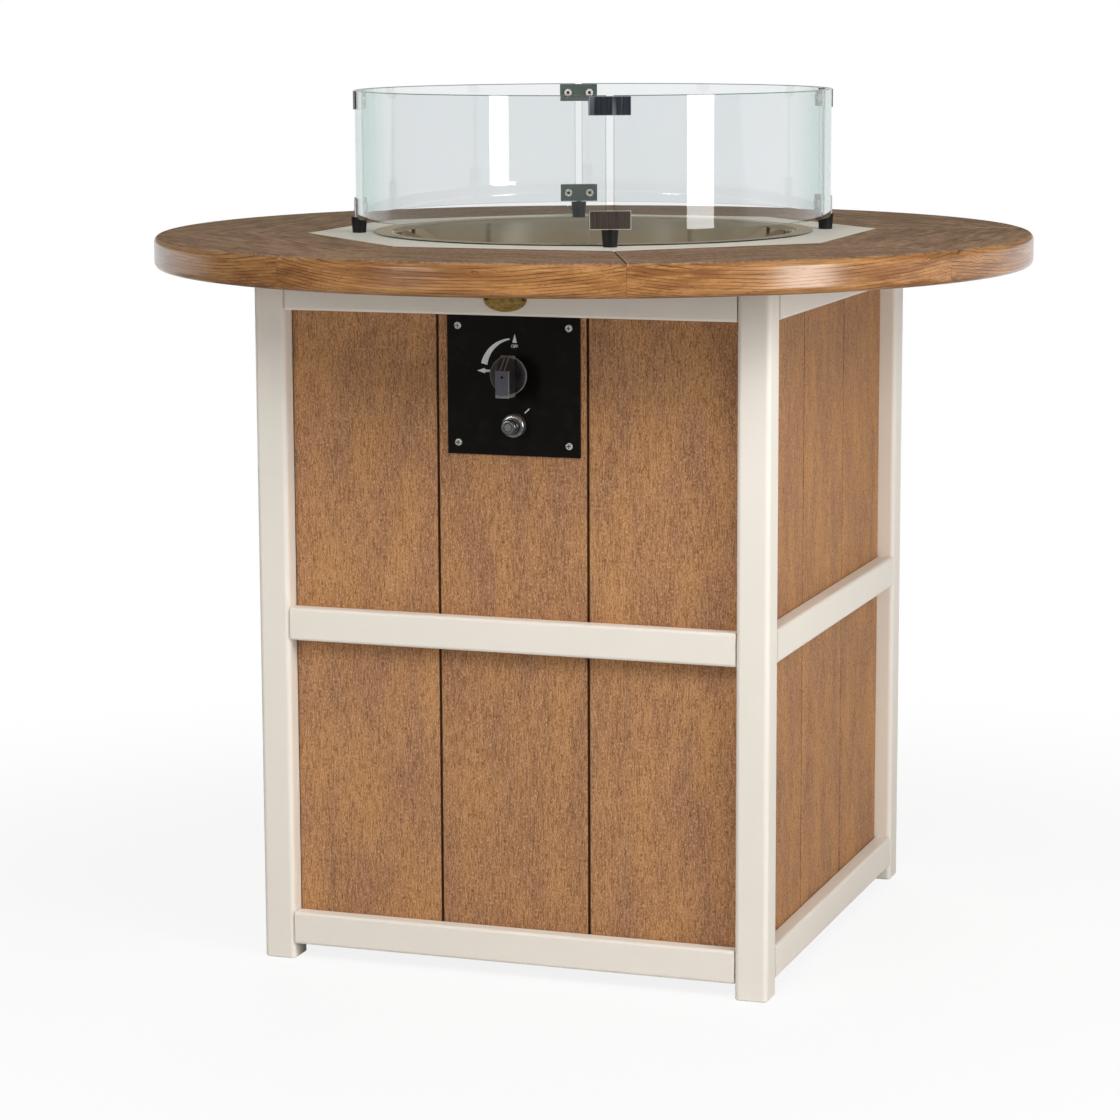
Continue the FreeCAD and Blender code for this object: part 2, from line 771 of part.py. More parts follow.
def gas_valve():
    z = knob_axis_height
    body = box(-valve_width / 2, valve_width / 2, valve_front, valve_back, z - valve_height / 2,
               z + valve_height / 2)
    body = body.makeFillet(valve_round, edges_along(body, Vector(0, 1, 0)))
    body = body.fuse(rod(valve_shoulder_radius, (0, valve_front, z), (0, -plank_front, z)))
    body = body.fuse(rod(valve_neck_radius, (0, valve_front, z), (0, neck_front, z)))
    body = body.fuse(rod(valve_outlet_radius, (0, valve_back, z), (0, valve_back + valve_outlet_length, z)))
    y = inlet_axis()
    body = body.fuse(rod(valve_inlet_radius, (-valve_width / 2, y, z),
                         (-valve_width / 2 - valve_inlet_length, y, z)))
    bore_end = neck_front + collar_space() + stem_depth_in_valve + push_travel + push_overrun
    body = body.cut(rod(stem_radius + stem_play, (0, neck_front, z), (0, bore_end, z)))
    body = body.cut(rod(collar_radius + collar_play, (0, neck_front, z), (0, neck_front + collar_space(), z)))
    outlet_end = valve_back + valve_outlet_length
    body = body.cut(rod(valve_bore_radius, (0, outlet_end - valve_outlet_bore_depth, z), (0, outlet_end, z)))
    nut = hexagon(valve_nut_hex, (0, plate_front, z), (0, plate_front - valve_nut_thickness, z))
    nut = nut.cut(rod(valve_neck_radius, (0, plate_front + past, z), (0, neck_front - past, z)))
    return [body, nut]


def collar_space():
    return collar_thickness + push_travel + push_overrun


def inlet_axis():
    return valve_back - valve_inlet_from_back


def valve_collar():
    z = knob_axis_height
    back = neck_front + collar_thickness
    ring = rod(collar_radius, (0, neck_front, z), (0, back, z))
    return ring.cut(rod(stem_radius + stem_play, (0, neck_front - past, z), (0, back + past, z)))


def valve_stem():
    z = knob_axis_height
    inner_end = neck_front + collar_space() + stem_depth_in_valve
    return rod(stem_radius, (0, knob_front + knob_grip_cover, z), (0, inner_end, z))


def control_knob():
    # A round skirt on a boss, with a grip bar. The bar's upper half ramps down to the skirt and points at OFF.
    z = knob_axis_height
    boss = rod(knob_boss_radius, (0, knob_back, z), (0, knob_skirt_back, z))
    skirt = rod(knob_radius, (0, knob_skirt_back, z), (0, knob_face, z))
    skirt = skirt.makeFillet(knob_skirt_round, circles_at(skirt, knob_face))
    low = z - knob_grip_below
    high = z + knob_grip_above
    root = knob_face + knob_grip_root
    profile = [(root, low), (knob_front, low), (knob_front, z + knob_ramp_start),
               (knob_face - knob_ramp_end, high), (root, high)]
    outline = [Vector(-knob_grip_width / 2, y, height) for y, height in profile]
    bar = Part.Face(Part.makePolygon(outline + [outline[0]])).extrude(Vector(knob_grip_width, 0, 0))
    front_edges = [edge for edge in bar.Edges if edge.BoundBox.YMin < knob_front + tiny]
    bar = bar.makeFillet(knob_grip_round, front_edges)
    knob = skirt.fuse(boss).fuse(bar).removeSplitter()
    knob = knob.cut(rod(knob_hollow_radius, (0, knob_back, z), (0, knob_back - knob_hollow_depth, z)))
    return knob.cut(rod(stem_radius, (0, knob_back, z), (0, knob_front + knob_grip_cover, z)))


def gas_inlet_fitting():
    # An elbow on the side of the valve, whose flare thread faces the tank door.
    y = inlet_axis()
    z = knob_axis_height
    start = -valve_width / 2 - valve_inlet_length
    reach = inlet_elbow_width / 2
    x = start - inlet_arm_length - reach
    shoulder = y + reach
    tip = shoulder + inlet_thread_length
    block = box(x - reach, x + reach, y - reach, y + reach, z - reach, z + reach)
    body = block.makeFillet(inlet_elbow_round, block.Edges)
    body = body.fuse(rod(inlet_arm_radius, (start, y, z), (x, y, z)))
    body = body.fuse(rod(inlet_thread_radius, (x, y, z), (x, tip - inlet_cone, z)))
    cone = Part.makeCone(inlet_thread_radius, inlet_nose_radius, inlet_cone,
                         Vector(x, tip - inlet_cone, z), Vector(0, 1, 0))
    body = body.fuse(cone)
    body = body.cut(rod(valve_bore_radius, (start, y, z), (x, y, z)))
    return body.cut(rod(valve_bore_radius, (x, y, z), (x, tip, z)))


# Igniter

def igniter_bezel():
    z = igniter_axis_height
    dome = rod(bezel_radius, (0, plate_front, z), (0, bezel_front, z))
    dome = dome.makeFillet(bezel_round, circles_at(dome, bezel_front))
    sleeve = rod(sleeve_radius, (0, plate_front, z), (0, -plank_front + sleeve_length, z))
    bezel = dome.fuse(sleeve).removeSplitter()
    return bezel.cut(rod(button_radius + button_play, (0, bezel_front - past, z),
                         (0, -plank_front + sleeve_length + past, z)))


def button_end():
    return -plank_front + sleeve_length + button_tail


def igniter_button():
    z = igniter_axis_height
    front = bezel_front - button_past_bezel
    button = rod(button_radius, (0, front, z), (0, button_end(), z))
    return button.makeFillet(button_round, circles_at(button, front))


def igniter_module():
    z = igniter_axis_height
    body = rod(module_radius, (0, -plank_front, z), (0, module_back, z))
    body = body.cut(rod(sleeve_radius, (0, -plank_front, z), (0, -plank_front + sleeve_length, z)))
    body = body.cut(rod(button_radius + button_play, (0, -plank_front, z),
                        (0, button_end() + button_travel + push_overrun, z)))
    return body.fuse(rod(terminal_radius, (0, module_back, z), (0, module_back + terminal_length, z)))


def electrode_place():
    radius = ring_outer_diameter / 2 + electrode_from_ring
    return electrode_x, -math.sqrt(radius ** 2 - electrode_x ** 2)


def spark_electrode():
    x, y = electrode_place()
    bottom = pan_floor - electrode_below_floor
    top = pan_floor + electrode_above_floor
    body = rod(electrode_radius, (x, y, bottom), (x, y, top))
    flange_top = pan_floor + electrode_flange_height
    body = body.fuse(rod(electrode_flange_radius, (x, y, pan_floor), (x, y, flange_top)))
    towards = Vector(-x, -y, 0).normalize()
    tip = Vector(x, y, top + spark_rod_length) + towards * spark_rod_lean
    return body.fuse(rod(spark_rod_radius, (x, y, top - past), tuple(tip)))


def ignition_lead():
    x, y = electrode_place()
    end = (x, y, pan_floor - electrode_below_floor)
    start = (controls_offset, module_back + terminal_length, igniter_axis_height)
    second = (controls_offset, start[1] + lead_first_run, igniter_axis_height)
    third = (x, y, end[2] - lead_last_run)
    points = [Vector(*p) for p in (start, second, third, end)]
    corners = [(start, 0)]
    for k in (1, 2):
        into = points[k] - points[k - 1]
        out = points[k + 1] - points[k]
        turn = into.getAngle(out)
        bend = bend_share * min(into.Length, out.Length) / math.tan(turn / 2)
        corners.append((tuple(points[k]), bend))
        print("ignition lead: bend radius %.0f" % bend)
    corners.append((end, 0))
    path = rounded_path(corners)
    tube = swept_tube(path, lead_radius)
    print("ignition lead: length %.0f, volume ratio %.4f" %
          (path.Length, tube.Volume / (math.pi * lead_radius ** 2 * path.Length)))
    return tube


# Name plate

def nameplate_pin_places():
    return [(side * nameplate_pin_spacing / 2, nameplate_centre_height) for side in (-1, 1)]


def nameplate():
    ellipse = Part.Ellipse(Vector(0, 0, 0), nameplate_width / 2, nameplate_height / 2).toShape()
    plate = Part.Face(Part.Wire(ellipse)).extrude(Vector(0, 0, nameplate_thickness))
    plate.Placement = Placement(Vector(0, -half, nameplate_centre_height), Rotation(Vector(1, 0, 0), 90))
    for x, z in nameplate_pin_places():
        plate = plate.cut(rod(nameplate_pin_radius / 2, (x, -half - nameplate_thickness - past, z),
                              (x, -half + past, z)))
    return plate


def nameplate_pins():
    pins = []
    face = -half - nameplate_thickness
    for x, z in nameplate_pin_places():
        head = rod(nameplate_pin_radius, (x, face, z), (x, face - nameplate_pin_head, z))
        shank = rod(nameplate_pin_radius / 2, (x, face, z), (x, face + nameplate_pin_length, z))
        pins.append(head.fuse(shank).removeSplitter())
    return pins


def front_rails():
    bars = rails(rail_end_gap, 0)
    for x, z in nameplate_pin_places():
        bars[0] = bars[0].cut(rod(nameplate_pin_radius / 2, (x, -half, z),
                                  (x, -half - nameplate_thickness + nameplate_pin_length, z)))
    return bars


# Wind guard, standing on the inlay

def joint_angles():
    return [first_joint_angle + 360.0 / pane_count * k for k in range(pane_count)]


def clamp_bottoms():
    return (guard_bottom + clamp_from_glass_edge, guard_top - clamp_from_glass_edge - clamp_height)


def clamp_screw_line(angle, side, r0, r1, height):
    # Two ends of a line square to the clamp, beside its joint.
    middle = math.radians(angle)
    across = Vector(math.cos(middle), math.sin(middle), 0) * (side * clamp_screw_spacing / 2)
    outward = Vector(math.sin(middle), -math.cos(middle), 0)
    lift = Vector(0, 0, height)
    return tuple(across + outward * r0 + lift), tuple(across + outward * r1 + lift)


def clamp_screw_lines(r0, r1):
    return [clamp_screw_line(angle, side, r0, r1, bottom + clamp_height / 2)
            for angle in joint_angles() for bottom in clamp_bottoms() for side in (-1, 1)]


def clamp_screw_rods(radius, r0, r1):
    return [rod(radius, start, end) for start, end in clamp_screw_lines(r0, r1)]


def clamp_screw_sockets(head_face):
    # Six-sided holes for the key, one in each head.
    return [hexagon(clamp_screw_socket, start, end) for start, end in
            clamp_screw_lines(head_face, head_face + clamp_screw_socket_depth)]


def glass_panes():
    ring = Part.makeCylinder(glass_outer_radius, glass_height, Vector(0, 0, guard_bottom))
    ring = ring.cut(Part.makeCylinder(glass_inner_radius, glass_height, Vector(0, 0, guard_bottom)))
    holes = Part.makeCompound(clamp_screw_rods(glass_hole_radius, glass_inner_radius - past,
                                               glass_outer_radius + past))
    panes = []
    for angle in joint_angles():
        wedge = ring_wedge(angle + 180.0 / pane_count, 180.0 / pane_count, pane_gap, top_diameter,
                           guard_bottom - past, guard_top + past)
        panes.append(ring.common(wedge).cut(holes).Solids[0])
    return panes


def clamp_outer_plates():
    rods = Part.makeCompound(clamp_screw_rods(clamp_screw_radius, glass_inner_radius, screw_tip_radius))
    plates = []
    for angle in joint_angles():
        for bottom in clamp_bottoms():
            plate = arc_block(outer_plate_radius, outer_plate_radius + clamp_plate_thickness, angle,
                              clamp_width, bottom, bottom + clamp_height)
            plates.append(plate.cut(rods))
    return plates


def clamp_inner_plates():
    # The inner plate carries a tongue that keeps the panes apart; the lower one takes the foot's stud.
    heads = clamp_head_seat - clamp_screw_head_height
    rods = Part.makeCompound(clamp_screw_rods(clamp_screw_radius, heads, screw_tip_radius))
    plates = []
    for angle in joint_angles():
        for bottom in clamp_bottoms():
            plate = arc_block(clamp_inner_face, inner_plate_radius, angle, clamp_width, bottom,
                              bottom + clamp_height)
            tongue = arc_block(clamp_inner_face, glass_outer_radius, angle, clamp_tongue_width, bottom,
                               bottom + clamp_height)
            plate = plate.fuse(tongue).cut(rods)
            if bottom == clamp_bottoms()[0]:
                plate = plate.cut(foot_stud(angle))
            plates.append(plate.removeSplitter())
    return plates


def clamp_pads():
    holes = Part.makeCompound(clamp_screw_rods(clamp_screw_radius, clamp_inner_face,
                                               glass_outer_radius + clamp_plate_thickness))
    pads = []
    for angle in joint_angles():
        for bottom in clamp_bottoms():
            for r0 in (inner_plate_radius, glass_outer_radius):
                pad = arc_block(r0, r0 + clamp_pad_thickness, angle, clamp_width - 2 * clamp_pad_inset,
                                bottom + clamp_pad_inset, bottom + clamp_height - clamp_pad_inset)
                if r0 == inner_plate_radius:
                    slot = box(-clamp_tongue_width / 2, clamp_tongue_width / 2, -glass_outer_radius, 0,
                               bottom, bottom + clamp_height)
                    pad = pad.cut(turned(slot, angle))
                pads.extend(pad.cut(holes).Solids)
    return pads


def clamp_screws():
    head_face = clamp_head_seat - clamp_screw_head_height
    heads = clamp_screw_rods(clamp_screw_head_radius, head_face, clamp_head_seat)
    shanks = clamp_screw_rods(clamp_screw_radius, head_face, screw_tip_radius)
    sockets = clamp_screw_sockets(head_face)
    return [head.fuse(shank).removeSplitter().cut(socket) for head, shank, socket in
            zip(heads, shanks, sockets)]


def foot_place(angle):
    middle = math.radians(angle)
    return glass_middle_radius * math.sin(middle), -glass_middle_radius * math.cos(middle)


def foot_stud(angle):
    x, y = foot_place(angle)
    return rod(foot_stud_radius, (x, y, guard_bottom - past), (x, y, guard_bottom + foot_stud_length))


def guard_feet():
    feet = []
    for angle in joint_angles():
        x, y = foot_place(angle)
        cone = Part.makeCone(foot_bottom_radius, foot_top_radius, foot_height, Vector(x, y, top_height))
        feet.append(cone.fuse(foot_stud(angle)).removeSplitter())
    return feet


def build():
    os.makedirs("parts", exist_ok=True)

    for k, segment in enumerate(top_segments()):
        save("top_segment_%d" % (k + 1), segment)
    save("inlay_segments", *inlay_segments())
    save("mitre_plates", *[mitre_plate(k) for k in range(segment_count)])

    for name, x, y in (("front_left", -1, -1), ("front_right", 1, -1), ("rear_left", -1, 1),
                       ("rear_right", 1, 1)):
        save("leg_" + name, leg(x, y))
    save("front_rails", *front_rails())
    save("front_planks", *front_planks())
    for name, angle in (("right", 90), ("left", 270)):
        save(name + "_rails", *[turned(bar, angle) for bar in rails(rail_end_gap, 0)])
        save(name + "_planks", *[turned(board, angle) for board in planks(seat_gap)])
    save("top_cleats", *cleat_frame(top_cleat_height, under_top))
    save("shelf_cleats", *cleat_frame(shelf_cleat_height, bottom_rail_clearance + rail_height))
    save("bottom_shelf", *shelf_boards())

    save("door_rails", *[turned(bar, 180) for bar in rails(door_side_gap, door_top_gap)])
    save("door_planks", *[turned(board, 180) for board in planks(door_side_gap)])
    save("door_cleats", *door_cleats())
    save("hinge_frame_leaves", *[hinge_leaf(centre, True) for centre in hinge_centres()])
    save("hinge_door_leaves", *[hinge_leaf(centre, False) for centre in hinge_centres()])
    save("hinge_pins", *[hinge_pin(centre) for centre in hinge_centres()])
    save("door_pull", door_pull())
    save("door_catch", door_catch())
    save("catch_strike", catch_strike())

    save("burner_pan", burner_pan())
    save("burner_ring", burner_ring())
    save("air_mixer", air_mixer())
    save("gas_line", gas_line())
    save("gas_valve", *at_controls(*gas_valve()))
    save("gas_inlet_fitting", *at_controls(gas_inlet_fitting()))
    save("valve_collar", *at_controls(valve_collar()))
    save("valve_stem", *at_controls(valve_stem()))
    save("control_knob", *at_controls(control_knob()))
    save("control_plate", control_plate())
    save("control_plate_screws", *plate_screws())

    save("igniter_bezel", *at_controls(igniter_bezel()))
    save("igniter_button", *at_controls(igniter_button()))
    save("igniter_module", *at_controls(igniter_module()))
    save("ignition_lead", ignition_lead())
    save("spark_electrode", spark_electrode())
    save("nameplate", nameplate())
    save("nameplate_pins", *nameplate_pins())

    for k, pane in enumerate(glass_panes()):
        save("glass_pane_%d" % (k + 1), pane)
    save("clamp_outer_plates", *clamp_outer_plates())
    save("clamp_inner_plates", *clamp_inner_plates())
    save("clamp_pads", *clamp_pads())
    save("clamp_screws", *clamp_screws())
    save("guard_feet", *guard_feet())


build()
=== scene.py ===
import json
import math

import bpy
from mathutils import Matrix, Vector


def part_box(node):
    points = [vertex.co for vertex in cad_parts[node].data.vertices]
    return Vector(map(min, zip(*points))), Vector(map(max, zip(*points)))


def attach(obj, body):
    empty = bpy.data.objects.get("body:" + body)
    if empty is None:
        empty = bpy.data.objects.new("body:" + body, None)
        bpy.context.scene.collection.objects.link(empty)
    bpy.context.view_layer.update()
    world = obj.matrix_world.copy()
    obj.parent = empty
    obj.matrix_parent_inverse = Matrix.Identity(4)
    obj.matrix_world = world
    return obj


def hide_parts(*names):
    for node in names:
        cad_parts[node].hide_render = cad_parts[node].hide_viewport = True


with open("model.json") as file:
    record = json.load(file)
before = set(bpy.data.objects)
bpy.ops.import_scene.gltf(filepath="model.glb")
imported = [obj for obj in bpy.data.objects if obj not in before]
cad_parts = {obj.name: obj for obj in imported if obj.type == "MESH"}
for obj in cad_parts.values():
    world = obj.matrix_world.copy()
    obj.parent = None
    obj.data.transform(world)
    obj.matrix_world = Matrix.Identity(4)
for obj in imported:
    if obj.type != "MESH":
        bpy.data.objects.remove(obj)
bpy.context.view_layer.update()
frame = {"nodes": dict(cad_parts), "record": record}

# Round, counter-height fire pit table: wood-look boards on a cream frame, a black control plate,
# a polished burner pan and a curved glass guard. Metres; bearings are degrees from -Y towards +X.

# Sizes that the looks share with the solids
top_height = 0.900
top_radius = 0.559
segment_angle = 45.0
board_pitch = 0.19266
plank_recess_near = 0.3036
plank_recess_far = 0.3066
pan_flange_radius = 0.280
knob_skirt_face = -0.332
knob_skirt_radius = 0.0235
knob_grip_face = -0.353
knob_grip_half = 0.00875
knob_ramp_foot = (-0.334, 0.772)
knob_ramp_rise = 0.0075
guard_low = 0.920
guard_high = 1.080
guard_middle = (guard_low + guard_high) / 2
glass_inner_radius = 0.295
joint_bearing = 22.5
joint_angle = 90.0
clamp_half_width = 0.025
clamp_height = 0.0225
clamp_from_edge = 0.0012
screw_reach = 0.0145
screw_socket_radius = 0.0021
plate_screw_reach = 0.071
button_groove_radius = 0.0053
button_edge_radius = 0.0078

# Levels of the clamps and their screws, up or down from the middle of the guard
clamp_far_edge = guard_high - guard_middle - clamp_from_edge
clamp_near_edge = clamp_far_edge - clamp_height
screw_level = clamp_far_edge - clamp_height / 2

# Where a look starts, and where it is full
rim_side = (top_radius - 0.0035, top_radius - 0.0015)
rim_below = (top_height - 0.0025, top_height - 0.0045)
seam_gap = (0.0013, 0.0007)
seam_edge = (0.0024, 0.0018)
seam_lit_side = (0.0, -0.001)
recess_start = (plank_recess_near - 0.0006, plank_recess_near)
recess_end = (plank_recess_far, plank_recess_far - 0.0006)
flange_line = (pan_flange_radius - 0.0012, pan_flange_radius - 0.0006)
outer_plates = (glass_inner_radius + 0.001, glass_inner_radius + 0.002)
upper_clamps = (guard_middle - 0.01, guard_middle + 0.01)
clamp_end_line = (clamp_half_width - 0.0009, clamp_half_width - 0.0005)
clamp_far_line = (clamp_far_edge - 0.0008, clamp_far_edge - 0.0004)
clamp_near_line = (clamp_near_edge + 0.0008, clamp_near_edge + 0.0004)
screw_socket = (screw_socket_radius + 0.0002, screw_socket_radius - 0.0002)
clamp_screws = (guard_low, guard_low + 0.001)
cross_width = (0.0007, 0.0005)
cross_length = (0.0030, 0.0027)
plate_screws = (-0.30, -0.305)
knob_front = (knob_grip_face + 0.0006, knob_grip_face + 0.0002)
knob_grip = (knob_skirt_face - 0.0004, knob_skirt_face - 0.0012)
knob_grip_sides = (knob_grip_half - 0.0010, knob_grip_half - 0.0004)
knob_grip_edge = (knob_grip_face + 0.0016, knob_grip_face + 0.0006)
knob_skirt_rim = (knob_skirt_radius - 0.0014, knob_skirt_radius - 0.0008)
knob_skirt_edge = (knob_skirt_face + 0.0014, knob_skirt_face + 0.0010)
knob_rear = (knob_skirt_face + 0.0014, knob_skirt_face + 0.0018)
knob_ramp = (knob_ramp_rise, knob_ramp_rise + 0.001)
knob_rib_width = (0.0010, 0.0006)
button_groove_width = (0.0012, 0.0006)
button_edge_start = (button_edge_radius - 0.001, button_edge_radius)
button_edge_end = (button_edge_radius + 0.003, button_edge_radius + 0.002)
glass_top_line = (guard_high - 0.0014, guard_high - 0.0004)
glass_cut = (0.0058, 0.0048)
guard_sides = (0.20, 0.26)

# How far the edge of the rim wanders, and how much wider the cut ends of the glass look at the sides
rim_raggedness = 0.002
side_cut_widening = 0.0016

# Printed marks: across and up from the axis of the knob or the igniter, then their sizes
print_depth = 0.00015
arrow_point = 0.04
off_arrow = (0.0004, 0.0372, 0.0060, 0.0106)
off_word = (0.0002, 0.0330, 0.0052)
off_word_boldness = 0.025
on_arrow = (-0.0478, 0.0025, 0.0064, 0.0100)
on_arrow_stem = (0.0063, 0.0030)
flame_ends = (98.3, 164.7)
flame_outer = (-0.0024, 0.0009, 0.0418)
flame_inner = (0.0021, 0.0044, 0.0373)
spark_stroke = (0.0157, 0.0179, 0.0056, 0.0050, 0.0018)

# Details of the knob and the name plate
round_sides = 96
knob_rib_offset = 0.0026
knob_rib_size = 0.0011
knob_rib_rounding = 0.0003
knob_rib_shortening = 0.001
cap_radius = 0.0017
cap_height = 0.0006
cap_rim = 0.0004
cap_sink = 0.0002
border_inset = 0.0012
border_radius = 0.00045

# Lead from the igniter to the electrode
lead_route = ((0.004, -0.238, 0.6855), (0.004, -0.202, 0.6855), (0.045, -0.16497, 0.7415),
              (0.045, -0.16497, 0.8065))
lead_thickness = 0.005

# Floor and room. The floor is grey under the table and turns to white paper further off. In mirrored light
# the room is dim, with a ceiling, and white only far behind the table.
floor_radius = 90.0
floor_grey = 0.86
floor_paper = (0.6, 1.7)
floor_paper_share = 0.86
floor_dims = (2.5, 0.5)
room_dims = (0.85, 0.45)
room_tone = (92, 92, 90)
ceiling_starts = (0.0, 0.05)
ceiling_tone = (152, 144, 127)
sky_level = 0.06

# Softboxes: bearing, distance, bottom, top, width, light on what faces them, tilt
plain_softboxes = {
    "top_softbox": (20.0, 2.3, 2.4, 3.6, 1.2, 0.22, 45.0),
    "key_softbox": (60.0, 2.9, 1.7, 3.3, 1.8, 0.67, 0.0),
    "front_softbox": (0.0, 2.8, 2.1, 3.5, 1.8, 0.54, 38.0),
    "rear_softbox": (200.0, 2.6, 0.4, 1.8, 1.6, 0.60, 0.0),
}
mirrored_softboxes = {
    "left_softbox": (-24.0, 2.8, 0.84, 1.6, 0.46, 0.12, 0.0),
    "right_softbox": (68.0, 2.8, 0.5, 1.6, 0.66, 0.32, 0.0),
}

# Camera
camera_distance = 4.4024
camera_bearing = 18.682
camera_height = 1.19207
camera_yaw = 0.577
camera_pitch = 9.280
camera_roll = -0.231
camera_lens = 110.234
camera_sensor = 36.0


# Places from the frame

def part_middle(node):
    low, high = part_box(node)
    return (Vector(low) + Vector(high)) / 2


def joint_place(name):
    joints = {joint["name"]: joint for joint in frame["record"]["behaviour"]["joints"]}
    return Vector(joints[name]["pos_m"])


# Colours and shader sums

white = (1.0, 1.0, 1.0, 1.0)


def tone(red, green, blue):
    # A paint colour from its 0-255 screen values.
    shares = []
    for value in (red, green, blue):
        share = value / 255
        shares.append(share / 12.92 if share <= 0.04045 else ((share + 0.055) / 1.055) ** 2.4)
    return (*shares, 1.0)


class Signal:
    # The output of a shader node, on which sums are written.

    def __init__(self, finish, socket):
        self.finish = finish
        self.socket = socket

    def __add__(self, other):
        return self.finish.maths("ADD", self, other)

    def __radd__(self, other):
        return self.finish.maths("ADD", other, self)

    def __sub__(self, other):
        return self.finish.maths("SUBTRACT", self, other)

    def __rsub__(self, other):
        return self.finish.maths("SUBTRACT", other, self)

    def __mul__(self, other):
        return self.finish.maths("MULTIPLY", self, other)

    def __rmul__(self, other):
        return self.finish.maths("MULTIPLY", other, self)

    def __truediv__(self, other):
        return self.finish.maths("DIVIDE", self, other)

    def __abs__(self):
        return self.finish.maths("ABSOLUTE", self)


class Finish:
    # A material and its nodes.

    def __init__(self, name):
        self.material = bpy.data.materials.new(name)
        self.material.use_nodes = True
        self.tree = self.material.node_tree
        self.tree.nodes.clear()

    def node(self, kind, settings=None, inputs=None, output=0):
        # Any shader node: its settings come first, then the values or links of its inputs.
        made = self.tree.nodes.new(kind)
        for key, value in (settings or {}).items():
            setattr(made, key, value)
        for key, value in (inputs or {}).items():
            self.feed(made.inputs[key], value)
        return Signal(self, made.outputs[output]) if made.outputs else None

    def feed(self, socket, value):
        if isinstance(value, Signal):
            self.tree.links.new(value.socket, socket)
        else:
            socket.default_value = value

    def maths(self, operation, *values):
        return self.node("ShaderNodeMath", {"operation": operation}, dict(enumerate(values)))

    def largest(self, first, *others):
        for other in others:
            first = self.maths("MAXIMUM", first, other)
        return first

    def place(self):
        # The shaded point on the piece as it is at rest, in metres.
        return self.node("ShaderNodeTexCoord", output=3)

    def parts(self, vector):
        split = self.node("ShaderNodeSeparateXYZ", inputs={0: vector})
        return [Signal(self, output) for output in split.socket.node.outputs]

    def axes(self):
        return self.parts(self.place())

    def ring_axes(self, first, step):
        # Lengths along and outward at the nearest of the bearings first, first + step, and so on, the
        # height, and a number of its own for each bearing.
        x, y, z = self.axes()
        turn = math.radians(step)
        start = math.radians(first)
        bearing = self.maths("ARCTAN2", x, 0 - y)
        nearest = self.maths("ROUND", (bearing - start) / turn) * turn + start
        sine = self.maths("SINE", nearest)
        cosine = self.maths("COSINE", nearest)
        return x * cosine + y * sine, x * sine - y * cosine, z, sine * 3.1 + cosine * 5.3

    def distance(self, first, second):
        return self.maths("SQRT", first * first + second * second)

    def point(self, x, y, z):
        return self.node("ShaderNodeCombineXYZ", inputs={0: x, 1: y, 2: z})

    def stretched(self, x, y, z):
        return self.node("ShaderNodeMapping", inputs={"Vector": self.place(), "Scale": (x, y, z)})

    def noise(self, place, detail=2.0, roughness=0.5):
        return self.node("ShaderNodeTexNoise", inputs={"Vector": place, "Scale": 1.0, "Detail": detail,
                                                       "Roughness": roughness})

    def ring_noise(self, ring, scales, detail=2.0, roughness=0.5):
        # Noise scaled along, outward and up on the axes of a ring, and different at each bearing.
        along, outward, z, shift = ring
        place = self.point(along * scales[0] + shift, outward * scales[1], z * scales[2])
        return self.noise(place, detail, roughness)

    def blend(self, share, first, second):
        # A colour between two, which is the second where the share is 1.
        return self.node("ShaderNodeMix", {"data_type": "RGBA"}, {0: share, 6: first, 7: second}, 2)

    def between(self, value, low, high, start=0.0, end=1.0):
        # Goes smoothly from start to end as the value goes from low to high.
        return self.node("ShaderNodeMapRange", {"interpolation_type": "SMOOTHSTEP"},
                         {0: value, 1: low, 2: high, 3: start, 4: end})

    def layers(self, colour, *layers):
        # Lays tones over a colour, each by its share where its value goes from low to high.
        for value, low, high, share, over in layers:
            colour = self.blend(self.between(value, low, high) * share, colour, over)
        return colour

    def relief(self, height, depth, strength):
        return self.node("ShaderNodeBump", inputs={"Height": height, "Strength": strength,
                                                   "Distance": depth})

    def coat(self, **inputs):
        named = {key.replace("_", " "): value for key, value in inputs.items()}
        return self.node("ShaderNodeBsdfPrincipled", inputs=named)

    def mixed(self, share, first, second):
        # Mixes two shaders as blend mixes two colours.
        return self.node("ShaderNodeMixShader", inputs={0: share, 1: first, 2: second})

    def show(self, shader):
        self.node("ShaderNodeOutputMaterial", inputs={"Surface": shader})
        return self.material


# Boards

